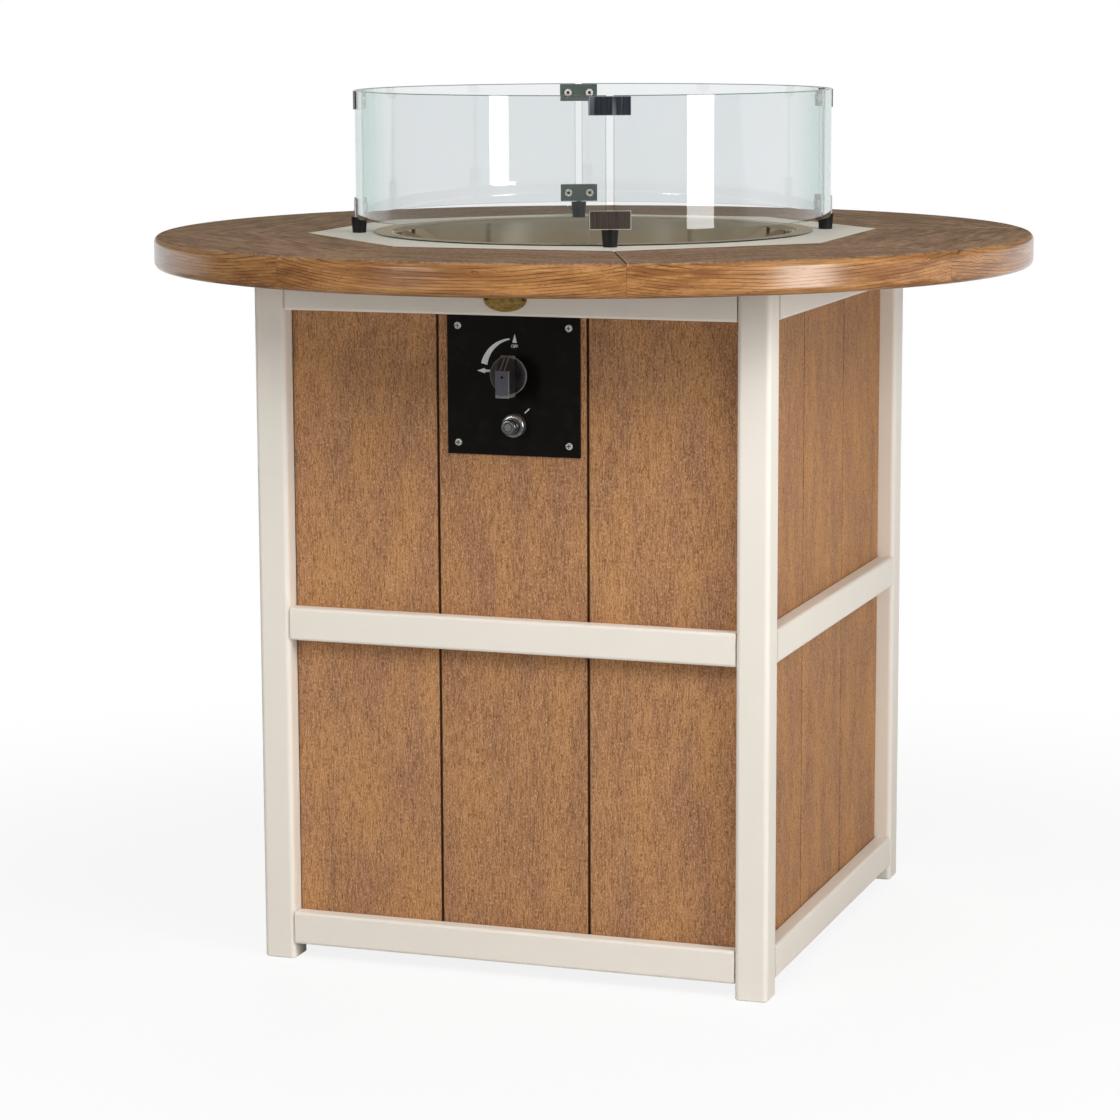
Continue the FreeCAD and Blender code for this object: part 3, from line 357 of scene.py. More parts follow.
def top_board():
    # Wood-look board: brown streaks along each segment, a golden moulded rim and open mitre joints.
    finish = Finish("top_board")
    ring = finish.ring_axes(0.0, segment_angle)
    along, outward, z, shift = ring
    radius = finish.distance(along, outward)

    # Growth lines of the rim, bent by slow waves and closed round a few knots
    sway = finish.ring_noise(ring, (2.6, 6, 16))
    knots = finish.ring_noise(ring, (11, 20, 40), 1.0)
    growth = z * 250 + outward * 80 + sway * 5.5 + finish.between(knots, 0.62, 0.76) * 2.2 + shift
    within = finish.maths("FRACT", growth)
    line = finish.between(within, 0.0, 0.14, 1.0, 0.0) + finish.between(within, 0.80, 1.0)
    fade = finish.ring_noise(ring, (9, 50, 70))
    line_share = line * finish.between(fade, 0.34, 0.60, 0.2, 1.0)

    fibre = finish.ring_noise(ring, (26, 560, 620), 2.0, 0.65)
    streak = finish.ring_noise(ring, (13, 85, 240), 3.0, 0.6)
    broad = finish.ring_noise(ring, (4, 22, 40))
    pores = finish.ring_noise(ring, (230, 70, 230), 2.0, 0.6)
    ragged = finish.noise(finish.stretched(140, 140, 140)) * rim_raggedness
    rim = finish.largest(finish.between(radius + ragged, *rim_side), finish.between(z - ragged, *rim_below))

    face = finish.blend(finish.between(broad, 0.34, 0.66), tone(130, 100, 77), tone(154, 123, 97))
    face = finish.layers(face,
                         (streak, 0.50, 0.36, 0.75, tone(94, 70, 55)),
                         (streak, 0.52, 0.66, 0.60, tone(180, 151, 124)),
                         (fibre, 0.54, 0.70, 0.45, tone(182, 156, 130)),
                         (fibre, 0.46, 0.32, 0.60, tone(80, 58, 46)),
                         (pores, 0.52, 0.66, 0.35, tone(196, 170, 144)),
                         (pores, 0.48, 0.34, 0.40, tone(74, 54, 42)))
    side = finish.blend(finish.between(broad, 0.3, 0.7), tone(138, 89, 44), tone(182, 129, 74))
    side = finish.layers(side,
                         (streak, 0.50, 0.66, 0.55, tone(192, 142, 86)),
                         (streak, 0.48, 0.34, 0.45, tone(112, 68, 32)))
    side = finish.blend(line_share * 0.95, side, tone(64, 34, 12))
    side = finish.layers(side, (fibre, 0.46, 0.32, 0.45, tone(96, 56, 26)))

    # The open joint is dark, with a painted highlight along one of its edges
    half = math.radians(segment_angle / 2)
    to_joint = outward * math.sin(half) - abs(along) * math.cos(half)
    flat = 1 - rim
    joint = finish.between(to_joint, *seam_gap) * flat
    seam_edge_highlight = finish.between(to_joint, *seam_edge) * finish.between(along, *seam_lit_side) * flat
    colour = finish.blend(rim, face, side)
    colour = finish.blend(seam_edge_highlight * 0.35, colour, tone(214, 196, 172))
    colour = finish.blend(joint * 0.95, colour, tone(24, 16, 12))
    height = fibre * 0.5 + streak * 0.4 + pores * 0.4 - line_share * rim * 0.6
    return finish.show(finish.coat(Base_Color=colour, Roughness=0.50 + fibre * 0.2, Specular_IOR_Level=0.3,
                                   Coat_Weight=rim, Coat_Roughness=0.21,
                                   Normal=finish.relief(height, 0.0005, 0.6)))


def plank_board():
    # Brushed board: fine upright lines over golden patches, with painted shade down in its joints.
    finish = Finish("plank_board")
    x, y, _ = finish.axes()
    board = finish.noise(finish.point(finish.maths("ROUND", x / board_pitch) * 3.7,
                                      finish.maths("ROUND", y / board_pitch) * 5.3, 0.4), 0.0)
    patches = finish.noise(finish.stretched(26, 26, 7))
    lines = finish.noise(finish.stretched(640, 640, 90), 2.0, 0.6)
    flecks = finish.noise(finish.stretched(720, 720, 300), 2.0, 0.6)
    colour = finish.blend(finish.between(patches, 0.30, 0.70), tone(162, 117, 84), tone(188, 137, 86))
    colour = finish.layers(colour,
                           (board, 0.3, 0.7, 0.22, tone(138, 96, 68)),
                           (lines, 0.50, 0.66, 0.45, tone(204, 158, 118)),
                           (lines, 0.48, 0.33, 0.60, tone(108, 73, 50)),
                           (flecks, 0.54, 0.68, 0.60, tone(222, 178, 138)),
                           (flecks, 0.46, 0.32, 0.68, tone(88, 58, 38)))
    # Painted shade on the bevels and walls of the joints between the planks
    reach = finish.largest(abs(x), abs(y))
    joint_shade = finish.between(reach, *recess_end) * finish.between(reach, *recess_start)
    colour = finish.blend(joint_shade * 0.85, colour, tone(62, 34, 22))
    height = lines + flecks * 0.5
    return finish.show(finish.coat(Base_Color=colour, Roughness=0.58 + flecks * 0.2, Specular_IOR_Level=0.22,
                                   Normal=finish.relief(height, 0.0005, 0.6)))


def frame_board():
    # Cream satin board with a very fine moulded grain.
    finish = Finish("frame_board")
    cloud = finish.noise(finish.stretched(7, 7, 7), 3.0)
    grain = finish.noise(finish.stretched(480, 480, 480), 3.0, 0.6)
    colour = finish.blend(cloud, tone(233, 226, 214), tone(239, 232, 221))
    return finish.show(finish.coat(Base_Color=colour, Roughness=0.42 + grain * 0.16, Specular_IOR_Level=0.32,
                                   Normal=finish.relief(grain, 0.00015, 0.5)))


def inner_board():
    # Plain brown board inside the cabinet.
    finish = Finish("inner_board")
    streaks = finish.noise(finish.stretched(60, 240, 240), 3.0)
    patches = finish.noise(finish.stretched(14, 14, 14))
    colour = finish.blend(patches, tone(112, 84, 62), tone(132, 102, 78))
    colour = finish.blend(streaks * 0.5, colour, tone(92, 66, 48))
    return finish.show(finish.coat(Base_Color=colour, Roughness=0.55 + streaks * 0.2,
                                   Normal=finish.relief(streaks, 0.0004, 0.5)))


# Metal

def metal(name, light, dark, stretch, smooth, rough, depth):
    # Brushed or cast metal, with smears that change its gloss.
    finish = Finish(name)
    lines = finish.noise(finish.stretched(*stretch), 3.0, 0.6)
    smears = finish.noise(finish.stretched(18, 18, 18))
    colour = finish.blend(finish.between(lines, 0.3, 0.7), dark, light)
    gloss = smooth + smears * (rough - smooth)
    return finish.show(finish.coat(Base_Color=colour, Metallic=1.0, Roughness=gloss,
                                   Normal=finish.relief(lines, depth, 0.5)))


def polished_steel():
    # Spun and polished steel, warm in tone, a little wavy, with a painted shade line round the outer edge of
    # its flange.
    finish = Finish("polished_steel")
    x, y, z = finish.axes()
    radius = finish.distance(x, y)
    rings = finish.noise(finish.point(radius * 900, z * 900, 0.0))
    waves = finish.noise(finish.stretched(16, 16, 16), 1.0)
    smears = finish.noise(finish.stretched(22, 22, 22), 3.0)
    colour = finish.blend(smears, tone(208, 200, 188), tone(233, 226, 216))
    # Painted shade on the outer edge of the flange
    colour = finish.blend(finish.between(radius, *flange_line), colour, tone(70, 62, 52))
    return finish.show(finish.coat(Base_Color=colour, Metallic=1.0, Roughness=0.04 + smears * 0.06,
                                   Normal=finish.relief(waves + rings * 0.02, 0.0012, 0.3)))


def clamp_plates():
    # Dark clamp plates with painted highlights on their edges, upright brushing on their outer faces and a
    # painted reflection there, blue-black with pale upright bands up at the rim of the glass and brown-black
    # down below, and a plain grey green inside.
    finish = Finish("clamp_steel")
    ring = finish.ring_axes(joint_bearing, joint_angle)
    along, outward, z, _ = ring
    outside = finish.between(finish.distance(along, outward), *outer_plates)
    level = abs(z - guard_middle)
    upper = finish.between(z, *upper_clamps)
    brushed = finish.ring_noise(ring, (420, 420, 14), 3.0, 0.7)
    reflected_bands = finish.ring_noise(ring, (95, 20, 6), 1.0)
    smears = finish.noise(finish.stretched(30, 30, 30))
    brushed_share = finish.between(brushed, 0.3, 0.7)
    # Painted reflection: the same steel is brown-black down low, and blue-black with pale upright bands up
    # at the rim of the glass
    lower_reflected_tone = finish.blend(brushed_share, tone(62, 54, 50), tone(88, 79, 74))
    upper_reflected_tone = finish.blend(brushed_share, tone(38, 41, 50), tone(58, 62, 74))
    upper_reflected_tone = finish.layers(upper_reflected_tone, (reflected_bands, 0.56, 0.68, 0.75, tone(134, 138, 152)))
    outer = finish.blend(upper, lower_reflected_tone, upper_reflected_tone)
    # Painted highlights along the ends and the long edges of the outer plates, fainter on the upper plates
    border = finish.largest(finish.between(abs(along), *clamp_end_line),
                            finish.between(level, *clamp_far_line),
                            finish.between(level, *clamp_near_line))
    outer = finish.blend(border * (0.85 - upper * 0.55), outer, tone(222, 220, 216))
    inner = finish.blend(smears, tone(76, 88, 85), tone(96, 108, 104))
    colour = finish.blend(outside, inner, outer)
    return finish.show(finish.coat(Base_Color=colour, Metallic=0.5, Roughness=0.36 + smears * 0.12,
                                   Normal=finish.relief(brushed, 0.0001, 0.4)))


def screw_heads():
    # Bright screw heads with painted shade in their sockets and crosses. The other small steel parts share
    # the slot.
    finish = Finish("screw_steel")
    x, y, z = finish.axes()
    along = finish.ring_axes(joint_bearing, joint_angle)[0]
    from_screw = finish.distance(abs(along) - screw_reach, abs(z - guard_middle) - screw_level)
    socket = finish.between(from_screw, *screw_socket) * finish.between(z, *clamp_screws)
    middle = part_middle("control_plate")
    across = abs(abs(x - middle.x) - plate_screw_reach)
    upright = abs(abs(z - middle.z) - plate_screw_reach)
    cross = finish.between(finish.maths("MINIMUM", across, upright), *cross_width) * \
        finish.between(finish.largest(across, upright), *cross_length) * finish.between(y, *plate_screws)
    scratches = finish.noise(finish.stretched(500, 500, 500), 3.0, 0.6)
    colour = finish.blend(finish.between(scratches, 0.3, 0.7), tone(196, 194, 189), tone(228, 227, 223))
    # Painted shade in the sockets of the clamp screws and the crosses of the plate screws
    colour = finish.blend(finish.largest(socket, cross) * 0.95, colour, tone(18, 18, 18))
    return finish.show(finish.coat(Base_Color=colour, Metallic=0.4, Roughness=0.2 + scratches * 0.14,
                                   Normal=finish.relief(scratches, 0.0001, 0.5)))


# Small parts

def plastic(name, colour, worn, low, high, shine=0.5):
    # Moulded plastic or paint, with a fine texture and a little wear.
    finish = Finish(name)
    texture = finish.noise(finish.stretched(900, 900, 900))
    wear = finish.noise(finish.stretched(70, 70, 70), 3.0)
    paint = finish.blend(finish.between(wear, 0.45, 0.8), colour, worn)
    return finish.show(finish.coat(Base_Color=paint, Roughness=low + wear * (high - low),
                                   Specular_IOR_Level=shine, Normal=finish.relief(texture, 0.00008, 0.4)))


def knob_plastic():
    # Black moulded plastic, a little worn, with a painted blue-grey sheen on the grip's front, pale painted
    # highlights on its edges and painted shade on its side.
    finish = Finish("knob_black")
    x, y, z = finish.axes()
    axis = joint_place("knob_turn")
    across = abs(x - axis.x)
    up = z - axis.z
    radius = finish.distance(x - axis.x, up)
    texture = finish.noise(finish.stretched(900, 900, 900))
    wear = finish.noise(finish.stretched(90, 90, 90), 3.0)
    colour = finish.blend(finish.between(wear, 0.35, 0.7), tone(32, 30, 31), tone(50, 46, 48))
    # Painted blue-grey sheen on the front face of the grip, varied by wear
    grip_front_sheen = finish.between(y, *knob_front)
    colour = finish.blend(grip_front_sheen, colour, finish.blend(wear, tone(64, 65, 74), tone(86, 87, 97)))
    # Pale painted highlights on the edges of the grip and the skirt, and on the ribs of the ramp
    on_grip = finish.between(y, *knob_grip)
    grip_edge = on_grip * finish.between(across, *knob_grip_sides) * finish.between(y, *knob_grip_edge)
    skirt_edge = finish.between(radius, *knob_skirt_rim) * finish.between(y, *knob_skirt_edge)
    rib = on_grip * finish.between(abs(across - knob_rib_offset), *knob_rib_width) * \
        finish.between(up, *knob_ramp)
    painted_edge_highlights = finish.largest(rib, grip_edge, skirt_edge)
    colour = finish.blend(painted_edge_highlights * 0.6, colour, tone(138, 137, 134))
    # Painted shade on the side of the skirt and behind it
    colour = finish.blend(finish.between(y, *knob_rear), colour, tone(16, 15, 15))
    return finish.show(finish.coat(Base_Color=colour, Roughness=0.36 + wear * 0.16, Specular_IOR_Level=0.4,
                                   Normal=finish.relief(texture, 0.00008, 0.4)))


def igniter_chrome():
    # Bright chrome, with painted shade in the groove round the button and a painted dark reflection on the
    # button's round edge.
    finish = Finish("igniter_chrome")
    x, _, z = finish.axes()
    middle = part_middle("igniter_bezel")
    radius = finish.distance(x - middle.x, z - middle.z)
    smears = finish.noise(finish.stretched(60, 60, 60))
    colour = finish.blend(smears, tone(150, 152, 156), tone(196, 198, 202))
    groove_shade = finish.between(abs(radius - button_groove_radius), *button_groove_width)
    button_edge_reflection = finish.between(radius, *button_edge_start) * finish.between(radius, *button_edge_end)
    # Painted shade in the groove and a painted dark reflection on the button's edge
    colour = finish.blend(finish.largest(groove_shade, button_edge_reflection) * 0.6, colour, tone(22, 22, 24))
    return finish.show(finish.coat(Base_Color=colour, Metallic=0.85, Roughness=0.17 + smears * 0.1,
                                   Normal=finish.relief(smears, 0.0008, 0.4)))


def name_plate_brass():
    # Dull old brass, with darker stains.
    finish = Finish("plate_brass")
    stains = finish.noise(finish.stretched(160, 160, 300), 3.0, 0.6)
    colour = finish.blend(finish.between(stains, 0.35, 0.65), tone(140, 110, 44), tone(184, 152, 82))
    return finish.show(finish.coat(Base_Color=colour, Metallic=0.25, Roughness=0.4 + stains * 0.2,
                                   Normal=finish.relief(stains, 0.0002, 0.5)))


def printed_paint():
    # Pale blue-grey print, laid down in fine dots.
    finish = Finish("printed_paint")
    dots = finish.node("ShaderNodeTexVoronoi", inputs={"Vector": finish.place(), "Scale": 900.0})
    wear = finish.noise(finish.stretched(300, 300, 300))
    colour = finish.layers(tone(236, 242, 242),
                           (dots, 0.30, 0.55, 0.45, tone(176, 188, 190)),
                           (wear, 0.6, 0.75, 0.25, tone(110, 110, 110)))
    return finish.show(finish.coat(Base_Color=colour, Roughness=0.5 + wear * 0.1, Specular_IOR_Level=0.3,
                                   Normal=finish.relief(dots, 0.00003, 0.3)))


def guard_glass():
    # Clear tempered glass: greener where it is seen along its wall, with a dark ground edge on top, and
    # cut ends that are dark at both sides and faint at the front and the back.
    finish = Finish("guard_glass")
    x, _, z = finish.axes()
    along = finish.ring_axes(joint_bearing, joint_angle)[0]
    top_edge = finish.between(z, *glass_top_line)
    aside = finish.between(abs(x), *guard_sides)
    cut = finish.between(abs(along) - aside * side_cut_widening, *glass_cut)
    smears = finish.noise(finish.stretched(9, 9, 5), 3.0)
    facing = finish.node("ShaderNodeLayerWeight", inputs={"Blend": 0.5}, output=1)
    colour = finish.blend(smears, tone(236, 239, 240), tone(241, 243, 244))
    colour = finish.blend(finish.between(facing, 0.40, 0.92), colour, tone(158, 196, 187))
    colour = finish.blend(cut * (0.35 + aside * 0.60), colour, tone(62, 84, 77))
    colour = finish.blend(top_edge, colour, tone(88, 114, 106))
    glass = finish.coat(Base_Color=colour, Roughness=0.0, IOR=1.5, Transmission_Weight=1.0)
    clear = finish.node("ShaderNodeBsdfTransparent", inputs={"Color": tone(240, 246, 245)})
    shadow = finish.node("ShaderNodeLightPath", output=1)
    return finish.show(finish.mixed(shadow, glass, clear))


# Looks of the material slots. A metal has its light and dark tone, the stretch of its lines, its least and
# most roughness and the depth of its lines. A plastic has its colour, its worn colour, its least and most
# roughness, and its shine where that isn't the usual one.

metals = {
    "hinge_steel": (tone(178, 178, 174), tone(128, 128, 124), (90, 90, 700), 0.28, 0.42, 0.0001),
    "valve_alloy": (tone(190, 190, 188), tone(150, 150, 148), (260, 260, 260), 0.4, 0.55, 0.0003),
    "gas_brass": (tone(206, 176, 110), tone(168, 136, 78), (400, 400, 400), 0.22, 0.36, 0.0001),
    "line_steel": (tone(184, 184, 180), tone(140, 140, 136), (500, 500, 90), 0.26, 0.4, 0.0001),
}
plastics = {
    "catch_plastic": (tone(58, 44, 36), tone(80, 64, 54), 0.45, 0.6),
    "plate_black": (tone(19, 16, 14), tone(27, 24, 21), 0.38, 0.55, 0.08),
    "lead_rubber": (tone(32, 32, 32), tone(50, 50, 50), 0.5, 0.7),
    "electrode_ceramic": (tone(232, 228, 216), tone(206, 198, 182), 0.18, 0.34),
    "pad_rubber": (tone(16, 15, 16), tone(28, 26, 27), 0.34, 0.5, 0.3),
}
finishes = {
    "top_board": top_board(),
    "frame_board": frame_board(),
    "plank_board": plank_board(),
    "inner_board": inner_board(),
    "polished_steel": polished_steel(),
    "clamp_steel": clamp_plates(),
    "screw_steel": screw_heads(),
    "knob_black": knob_plastic(),
    "igniter_chrome": igniter_chrome(),
    "plate_brass": name_plate_brass(),
    "guard_glass": guard_glass(),
}
for slot, settings in metals.items():
    finishes[slot] = metal(slot, *settings)
for slot, settings in plastics.items():
    finishes[slot] = plastic(slot, *settings)

# The pins of the name plate are darker than the steel of their slot
own_finishes = {"nameplate_pins": plastic("pin_bronze", tone(70, 36, 18), tone(92, 52, 28), 0.3, 0.45)}

for part in frame["record"]["subparts"]:
    mesh = frame["nodes"][part["node"]].data
    mesh.materials.clear()
    mesh.materials.append(own_finishes.get(part["node"], finishes[part["material_slot"]]))


# Making small pieces

def select_only(*pieces):
    # Selects these pieces alone, and makes the first of them the active one.
    bpy.ops.object.select_all(action="DESELECT")
    for piece in pieces:
        piece.select_set(True)
    bpy.context.view_layer.objects.active = pieces[0]


def settled(piece, name, look, body):
    # Moves the piece's place into its mesh, and hangs it on its body.
    select_only(piece)
    bpy.ops.object.transform_apply(location=True, rotation=True, scale=True)
    piece.name = name
    piece.data.name = name
    piece.data.materials.clear()
    piece.data.materials.append(look)
    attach(piece, body)
    return piece


def joined(*pieces):
    select_only(*pieces)
    bpy.ops.object.join()
    return pieces[0]


def everywhere(place):
    return True


def reshape(piece, test, change, by="VERT", **settings):
    # Makes an edit of the corners, or the faces, for whose places the test holds.
    bpy.ops.object.mode_set(mode="EDIT")
    bpy.ops.mesh.select_mode(type=by)
    bpy.ops.mesh.select_all(action="DESELECT")
    bpy.ops.object.mode_set(mode="OBJECT")
    if by == "FACE":
        for face in piece.data.polygons:
            face.select = test(face.center)
    else:
        for corner in piece.data.vertices:
            corner.select = test(corner.co)
    bpy.ops.object.mode_set(mode="EDIT")
    change(**settings)
    bpy.ops.object.mode_set(mode="OBJECT")


def block(middle, size):
    # A box whose corners are in its mesh already.
    bpy.ops.mesh.primitive_cube_add(size=1.0, location=middle)
    piece = bpy.context.active_object
    piece.scale = size
    bpy.ops.object.transform_apply(location=True, rotation=True, scale=True)
    return piece


def disc(middle, radius, depth):
    # A short cylinder that faces the front, with its corners in its mesh already.
    bpy.ops.mesh.primitive_cylinder_add(vertices=round_sides, radius=radius, depth=depth, location=middle,
                                        rotation=(math.pi / 2, 0, 0))
    bpy.ops.object.transform_apply(location=True, rotation=True, scale=True)
    return bpy.context.active_object


# Printed marks

def on_plate(axis, across, up):
    # A place on the face of the control plate, from the axis of the knob or the igniter.
    return Vector((axis.x + across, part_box("control_plate")[0][1], axis.z + up))


def arrow_head(middle, width, length):
    # A flat triangle that points up.
    piece = block(middle, (width, print_depth * 2, length))
    reshape(piece, lambda place: place.z > middle.z, bpy.ops.transform.resize,
            value=(arrow_point, 1.0, 1.0), center_override=middle)
    return piece


def print_off_arrow(axis, paint):
    across, up, width, length = off_arrow
    settled(arrow_head(on_plate(axis, across, up + length / 2), width, length), "off_arrow", paint, "table")


def print_off_word(axis, paint):
    across, up, size = off_word
    bpy.ops.object.text_add(location=on_plate(axis, across, up), rotation=(math.pi / 2, 0, 0))
    word = bpy.context.active_object
    word.data.body = "OFF"
    word.data.size = size
    word.data.align_x = "CENTER"
    word.data.align_y = "CENTER"
    word.data.offset = size * off_word_boldness
    word.data.extrude = print_depth
    word.data.resolution_u = 4
    bpy.ops.object.convert(target="MESH")
    settled(bpy.context.active_object, "off_word", paint, "table")


def print_on_arrow(axis, paint):
    # Points left, to the full flame, with a short stem.
    across, up, width, length = on_arrow
    stem_length, stem_width = on_arrow_stem
    middle = on_plate(axis, across + length / 2, up)
    head = arrow_head(middle, width, length)
    reshape(head, everywhere, bpy.ops.transform.rotate, value=math.radians(90), orient_axis="Y",
            center_override=middle)
    stem = block(middle + Vector((length / 2 + stem_length / 2, 0, 0)),
                 (stem_length, print_depth * 2, stem_width))
    settled(joined(head, stem), "flame_arrow", paint, "table")


def print_flame_arc(axis, paint):
    # A crescent round the knob that swells towards the full flame.
    middle = on_plate(axis, 0.0, 0.0)
    outer_x, outer_z, outer_radius = flame_outer
    inner_x, inner_z, inner_radius = flame_inner
    arc = disc(middle + Vector((outer_x, 0, outer_z)), outer_radius, print_depth * 2)
    hole = disc(middle + Vector((inner_x, 0, inner_z)), inner_radius, print_depth * 20)
    bpy.context.view_layer.objects.active = arc
    cut = arc.modifiers.new("hole", "BOOLEAN")
    cut.operation = "DIFFERENCE"
    cut.object = hole
    bpy.ops.object.modifier_apply(modifier=cut.name)
    bpy.data.objects.remove(hole)
    for angle, side in zip(flame_ends, (1, -1)):
        turn = math.radians(angle)
        reshape(arc, everywhere, bpy.ops.mesh.bisect, plane_co=middle,
                plane_no=(math.sin(turn) * side, 0, -math.cos(turn) * side), clear_outer=True, use_fill=True)
    settled(arc, "flame_arc", paint, "table")


def print_spark_stroke(axis, paint):
    # A slanted stroke beside the igniter, higher on its right.
    across, up, width, rise, thickness = spark_stroke
    middle = on_plate(axis, across, up)
    piece = block(middle, (width, print_depth * 2, thickness))
    reshape(piece, lambda place: place.x > middle.x, bpy.ops.transform.translate, value=(0, 0, rise))
    reshape(piece, everywhere, bpy.ops.transform.translate, value=(0, 0, -rise / 2))
    settled(piece, "spark_stroke", paint, "table")


def print_marks():
    paint = printed_paint()
    knob = joint_place("knob_turn")
    print_off_arrow(knob, paint)
    print_off_word(knob, paint)
    print_on_arrow(knob, paint)
    print_flame_arc(knob, paint)
    print_spark_stroke(part_middle("igniter_bezel"), paint)


# Details of the knob and the name plate

def knob_ribs():
    # Two thin ribs that run down the ramp of the grip.
    axis = joint_place("knob_turn")
    foot_y, foot_z = knob_ramp_foot
    top = Vector((axis.x, knob_grip_face, axis.z + knob_ramp_rise))
    foot = Vector((axis.x, foot_y, foot_z))
    slope = foot - top
    lean = Matrix.Rotation(math.atan2(slope.z, slope.y), 4, "X")
    ribs = []
    for side in (-1, 1):
        middle = (top + foot) / 2 + Vector((side * knob_rib_offset, 0, 0))
        rib = block(middle, (knob_rib_size, slope.length - knob_rib_shortening, knob_rib_size))
        reshape(rib, everywhere, bpy.ops.mesh.bevel, offset=knob_rib_rounding, segments=2)
        rib.data.transform(Matrix.Translation(middle) @ lean @ Matrix.Translation(-middle))
        ribs.append(rib)
    piece = settled(joined(*ribs), "knob_ribs", finishes["knob_black"], "control_knob")


def sink_middle():
    # Presses the middle of the selected face in, and leaves a rim round it.
    bpy.ops.mesh.inset(thickness=cap_rim)
    bpy.ops.mesh.extrude_region_move(TRANSFORM_OT_translate={"value": (0, cap_sink, 0)})


def knob_cap():
    # A small sunk screw cap on the front of the grip.
    axis = joint_place("knob_turn")
    cap = disc(Vector((axis.x, knob_grip_face, axis.z)), cap_radius, cap_height)
    reshape(cap, lambda place: place.y < knob_grip_face - cap_height / 3, sink_middle, by="FACE")
    settled(cap, "knob_cap", finishes["plate_black"], "control_knob")


def name_plate_border():
    # The raised line round the oval plate.
    low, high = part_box("nameplate")
    middle = part_middle("nameplate")
    bpy.ops.curve.primitive_bezier_circle_add(radius=1.0, location=(middle.x, low[1], middle.z),
                                              rotation=(math.pi / 2, 0, 0))
    border = bpy.context.active_object
    border.scale = ((high[0] - low[0]) / 2 - border_inset, (high[2] - low[2]) / 2 - border_inset, 1.0)
    bpy.ops.object.transform_apply(location=False, rotation=False, scale=True)
    border.data.resolution_u = 16
    border.data.bevel_depth = border_radius
    border.data.bevel_resolution = 2
    bpy.ops.object.convert(target="MESH")
    piece = settled(bpy.context.active_object, "nameplate_border", finishes["plate_brass"], "table")
    bpy.ops.object.shade_smooth_by_angle(angle=math.radians(50))


# Lead

def ignition_lead():
    # The insulated lead from the back of the igniter to the electrode.
    data = bpy.data.curves.new("spark_lead", "CURVE")
    data.dimensions = "3D"
    line = data.splines.new("NURBS")
    line.points.add(len(lead_route) - 1)
    for point, place in zip(line.points, lead_route):
        point.co = (*place, 1.0)
    line.order_u = 3
    line.use_endpoint_u = True
    line.resolution_u = 16
    data.bevel_depth = lead_thickness / 2
    data.bevel_resolution = 4
    data.use_fill_caps = True
    data.materials.append(finishes["lead_rubber"])
    lead = bpy.data.objects.new("spark_lead", data)
    bpy.context.scene.collection.objects.link(lead)
    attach(lead, "table")
    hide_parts("ignition_lead")


print_marks()
knob_ribs()
knob_cap()
name_plate_border()
ignition_lead()


# Floor, light and camera

def along_bearing(bearing, distance, height):
    turn = math.radians(bearing)
    return Vector((distance * math.sin(turn), -distance * math.cos(turn), height))


def ray_kinds(finish):
    # What asks for the colour: a ray from the camera, a mirrored one, or one that came through glass.
    path = finish.node("ShaderNodeLightPath")
    camera, glossy, through = [Signal(finish, path.socket.node.outputs[name]) for name in
                               ("Is Camera Ray", "Is Glossy Ray", "Is Transmission Ray")]
    return camera, glossy * (1 - through), through


def make_floor():
    # Grey floor that the camera sees as white paper further off, and mirrors see as a dim room in front.
    bpy.ops.mesh.primitive_circle_add(vertices=round_sides, radius=floor_radius, fill_type="NGON")
    floor = bpy.context.active_object
    floor.name = "floor"
    finish = Finish("floor_paper")
    x, y, _ = finish.axes()
    camera, mirrored, through = ray_kinds(finish)
    plain = finish.node("ShaderNodeBsdfDiffuse", inputs={"Color": (floor_grey, floor_grey, floor_grey, 1.0)})
    paper = finish.node("ShaderNodeEmission", inputs={"Color": white, "Strength": 1.0})
    room = finish.node("ShaderNodeEmission", inputs={"Color": tone(*room_tone), "Strength": 1.0})
    seen = finish.mixed(mirrored * finish.between(y, *floor_dims), paper, room)
    share = finish.between(finish.distance(x, y), *floor_paper, floor_paper_share, 1.0)
    shader = finish.mixed(finish.largest(camera, mirrored, through) * share, plain, seen)
    floor.data.materials.append(finish.show(shader))


class Surroundings(Finish):
    # The world's own nodes.

    def __init__(self):
        world = bpy.data.worlds.new("studio")
        bpy.context.scene.world = world
        world.use_nodes = True
        self.tree = world.node_tree
        self.tree.nodes.clear()

    def background(self, colour, level):
        return self.node("ShaderNodeBackground", inputs={"Color": colour, "Strength": level})


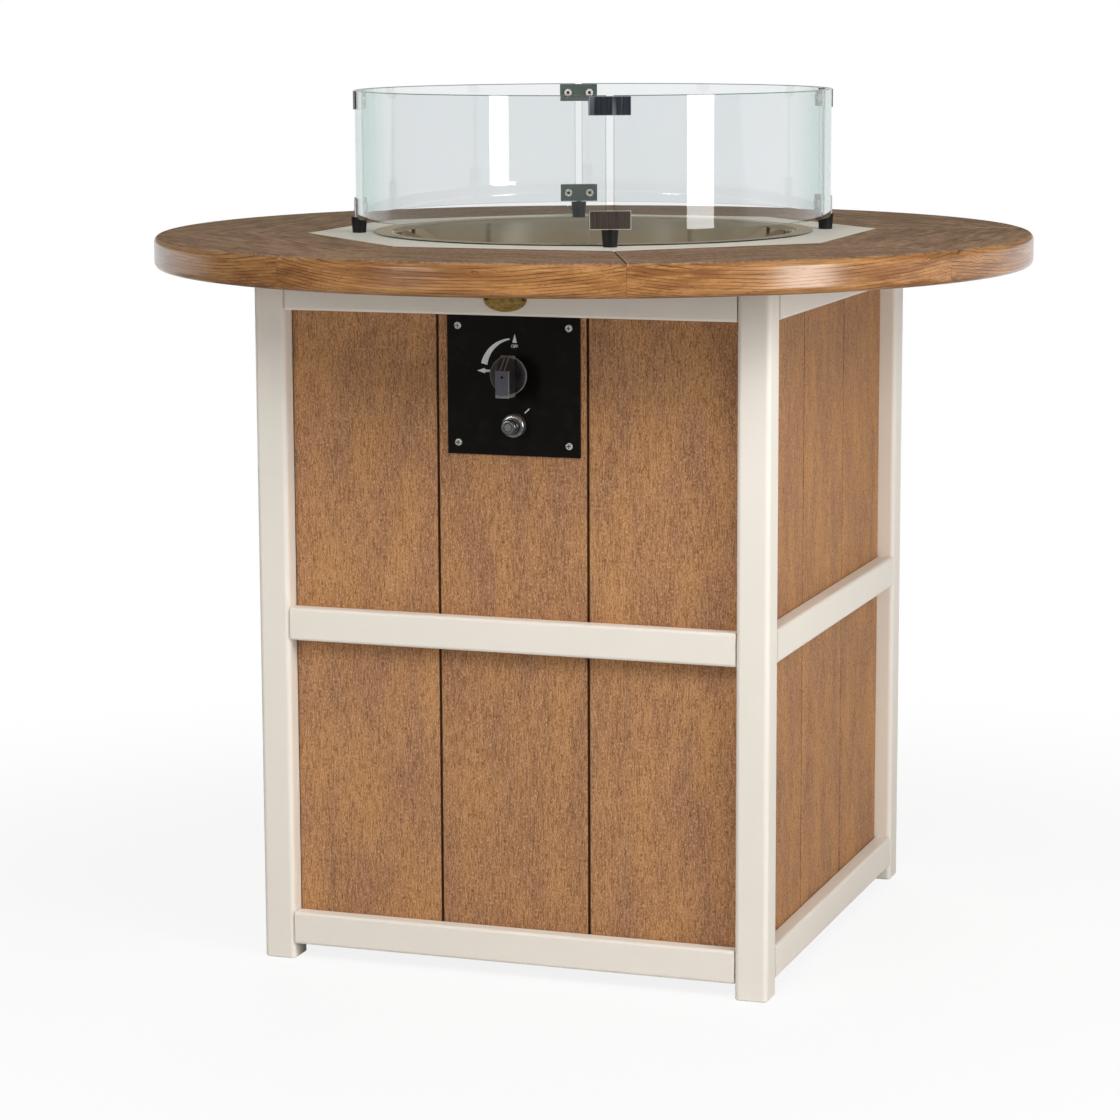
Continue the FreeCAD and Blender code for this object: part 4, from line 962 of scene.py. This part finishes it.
def make_world():
    # White all round, with a darker ceiling and a dim front that only metal, gloss and glass show.
    world = Surroundings()
    _, ahead, rise = world.parts(world.node("ShaderNodeTexCoord", output=0))
    colour = world.blend(world.between(ahead, *room_dims), white, tone(*room_tone))
    colour = world.blend(world.between(rise, *ceiling_starts), colour, tone(*ceiling_tone))
    camera, mirrored, through = ray_kinds(world)
    seen = world.mixed(camera, world.background(white, sky_level), world.background(white, 1.0))
    shader = world.mixed(world.largest(mirrored, through), seen, world.background(colour, 1.0))
    world.node("ShaderNodeOutputWorld", inputs={"Surface": shader})


def softbox(name, bearing, distance, low, high, width, level, tilt):
    # A softbox that faces the table, tipped down by its tilt. Its level is the light on what faces it.
    data = bpy.data.lights.new(name, "AREA")
    data.shape = "RECTANGLE"
    data.size = width
    data.size_y = high - low
    data.energy = level * math.pi ** 2 * distance ** 2
    lamp = bpy.data.objects.new(name, data)
    bpy.context.scene.collection.objects.link(lamp)
    lamp.location = along_bearing(bearing, distance, (low + high) / 2)
    lamp.rotation_euler = (math.pi / 2 - math.radians(tilt), 0, math.radians(bearing))
    lamp.visible_camera = False
    lamp.visible_transmission = False
    return lamp


def make_camera():
    data = bpy.data.cameras.new("camera")
    data.lens = camera_lens
    data.sensor_width = camera_sensor
    camera = bpy.data.objects.new("camera", data)
    bpy.context.scene.collection.objects.link(camera)
    turn = math.radians(camera_bearing + camera_yaw)
    pitch = math.radians(camera_pitch)
    roll = math.radians(camera_roll)
    ahead = Vector((-math.sin(turn) * math.cos(pitch), math.cos(turn) * math.cos(pitch), -math.sin(pitch)))
    level_right = Vector((math.cos(turn), math.sin(turn), 0.0))
    level_up = level_right.cross(ahead)
    right = level_right * math.cos(roll) + level_up * math.sin(roll)
    up = level_up * math.cos(roll) - level_right * math.sin(roll)
    place = Matrix.Translation(along_bearing(camera_bearing, camera_distance, camera_height))
    camera.matrix_world = place @ Matrix((right, up, -ahead)).transposed().to_4x4()
    bpy.context.scene.camera = camera


make_floor()
make_world()
for name, settings in plain_softboxes.items():
    softbox(name, *settings).visible_glossy = False
for name, settings in mirrored_softboxes.items():
    softbox(name, *settings)
make_camera()
bpy.context.scene.view_settings.view_transform = "Standard"
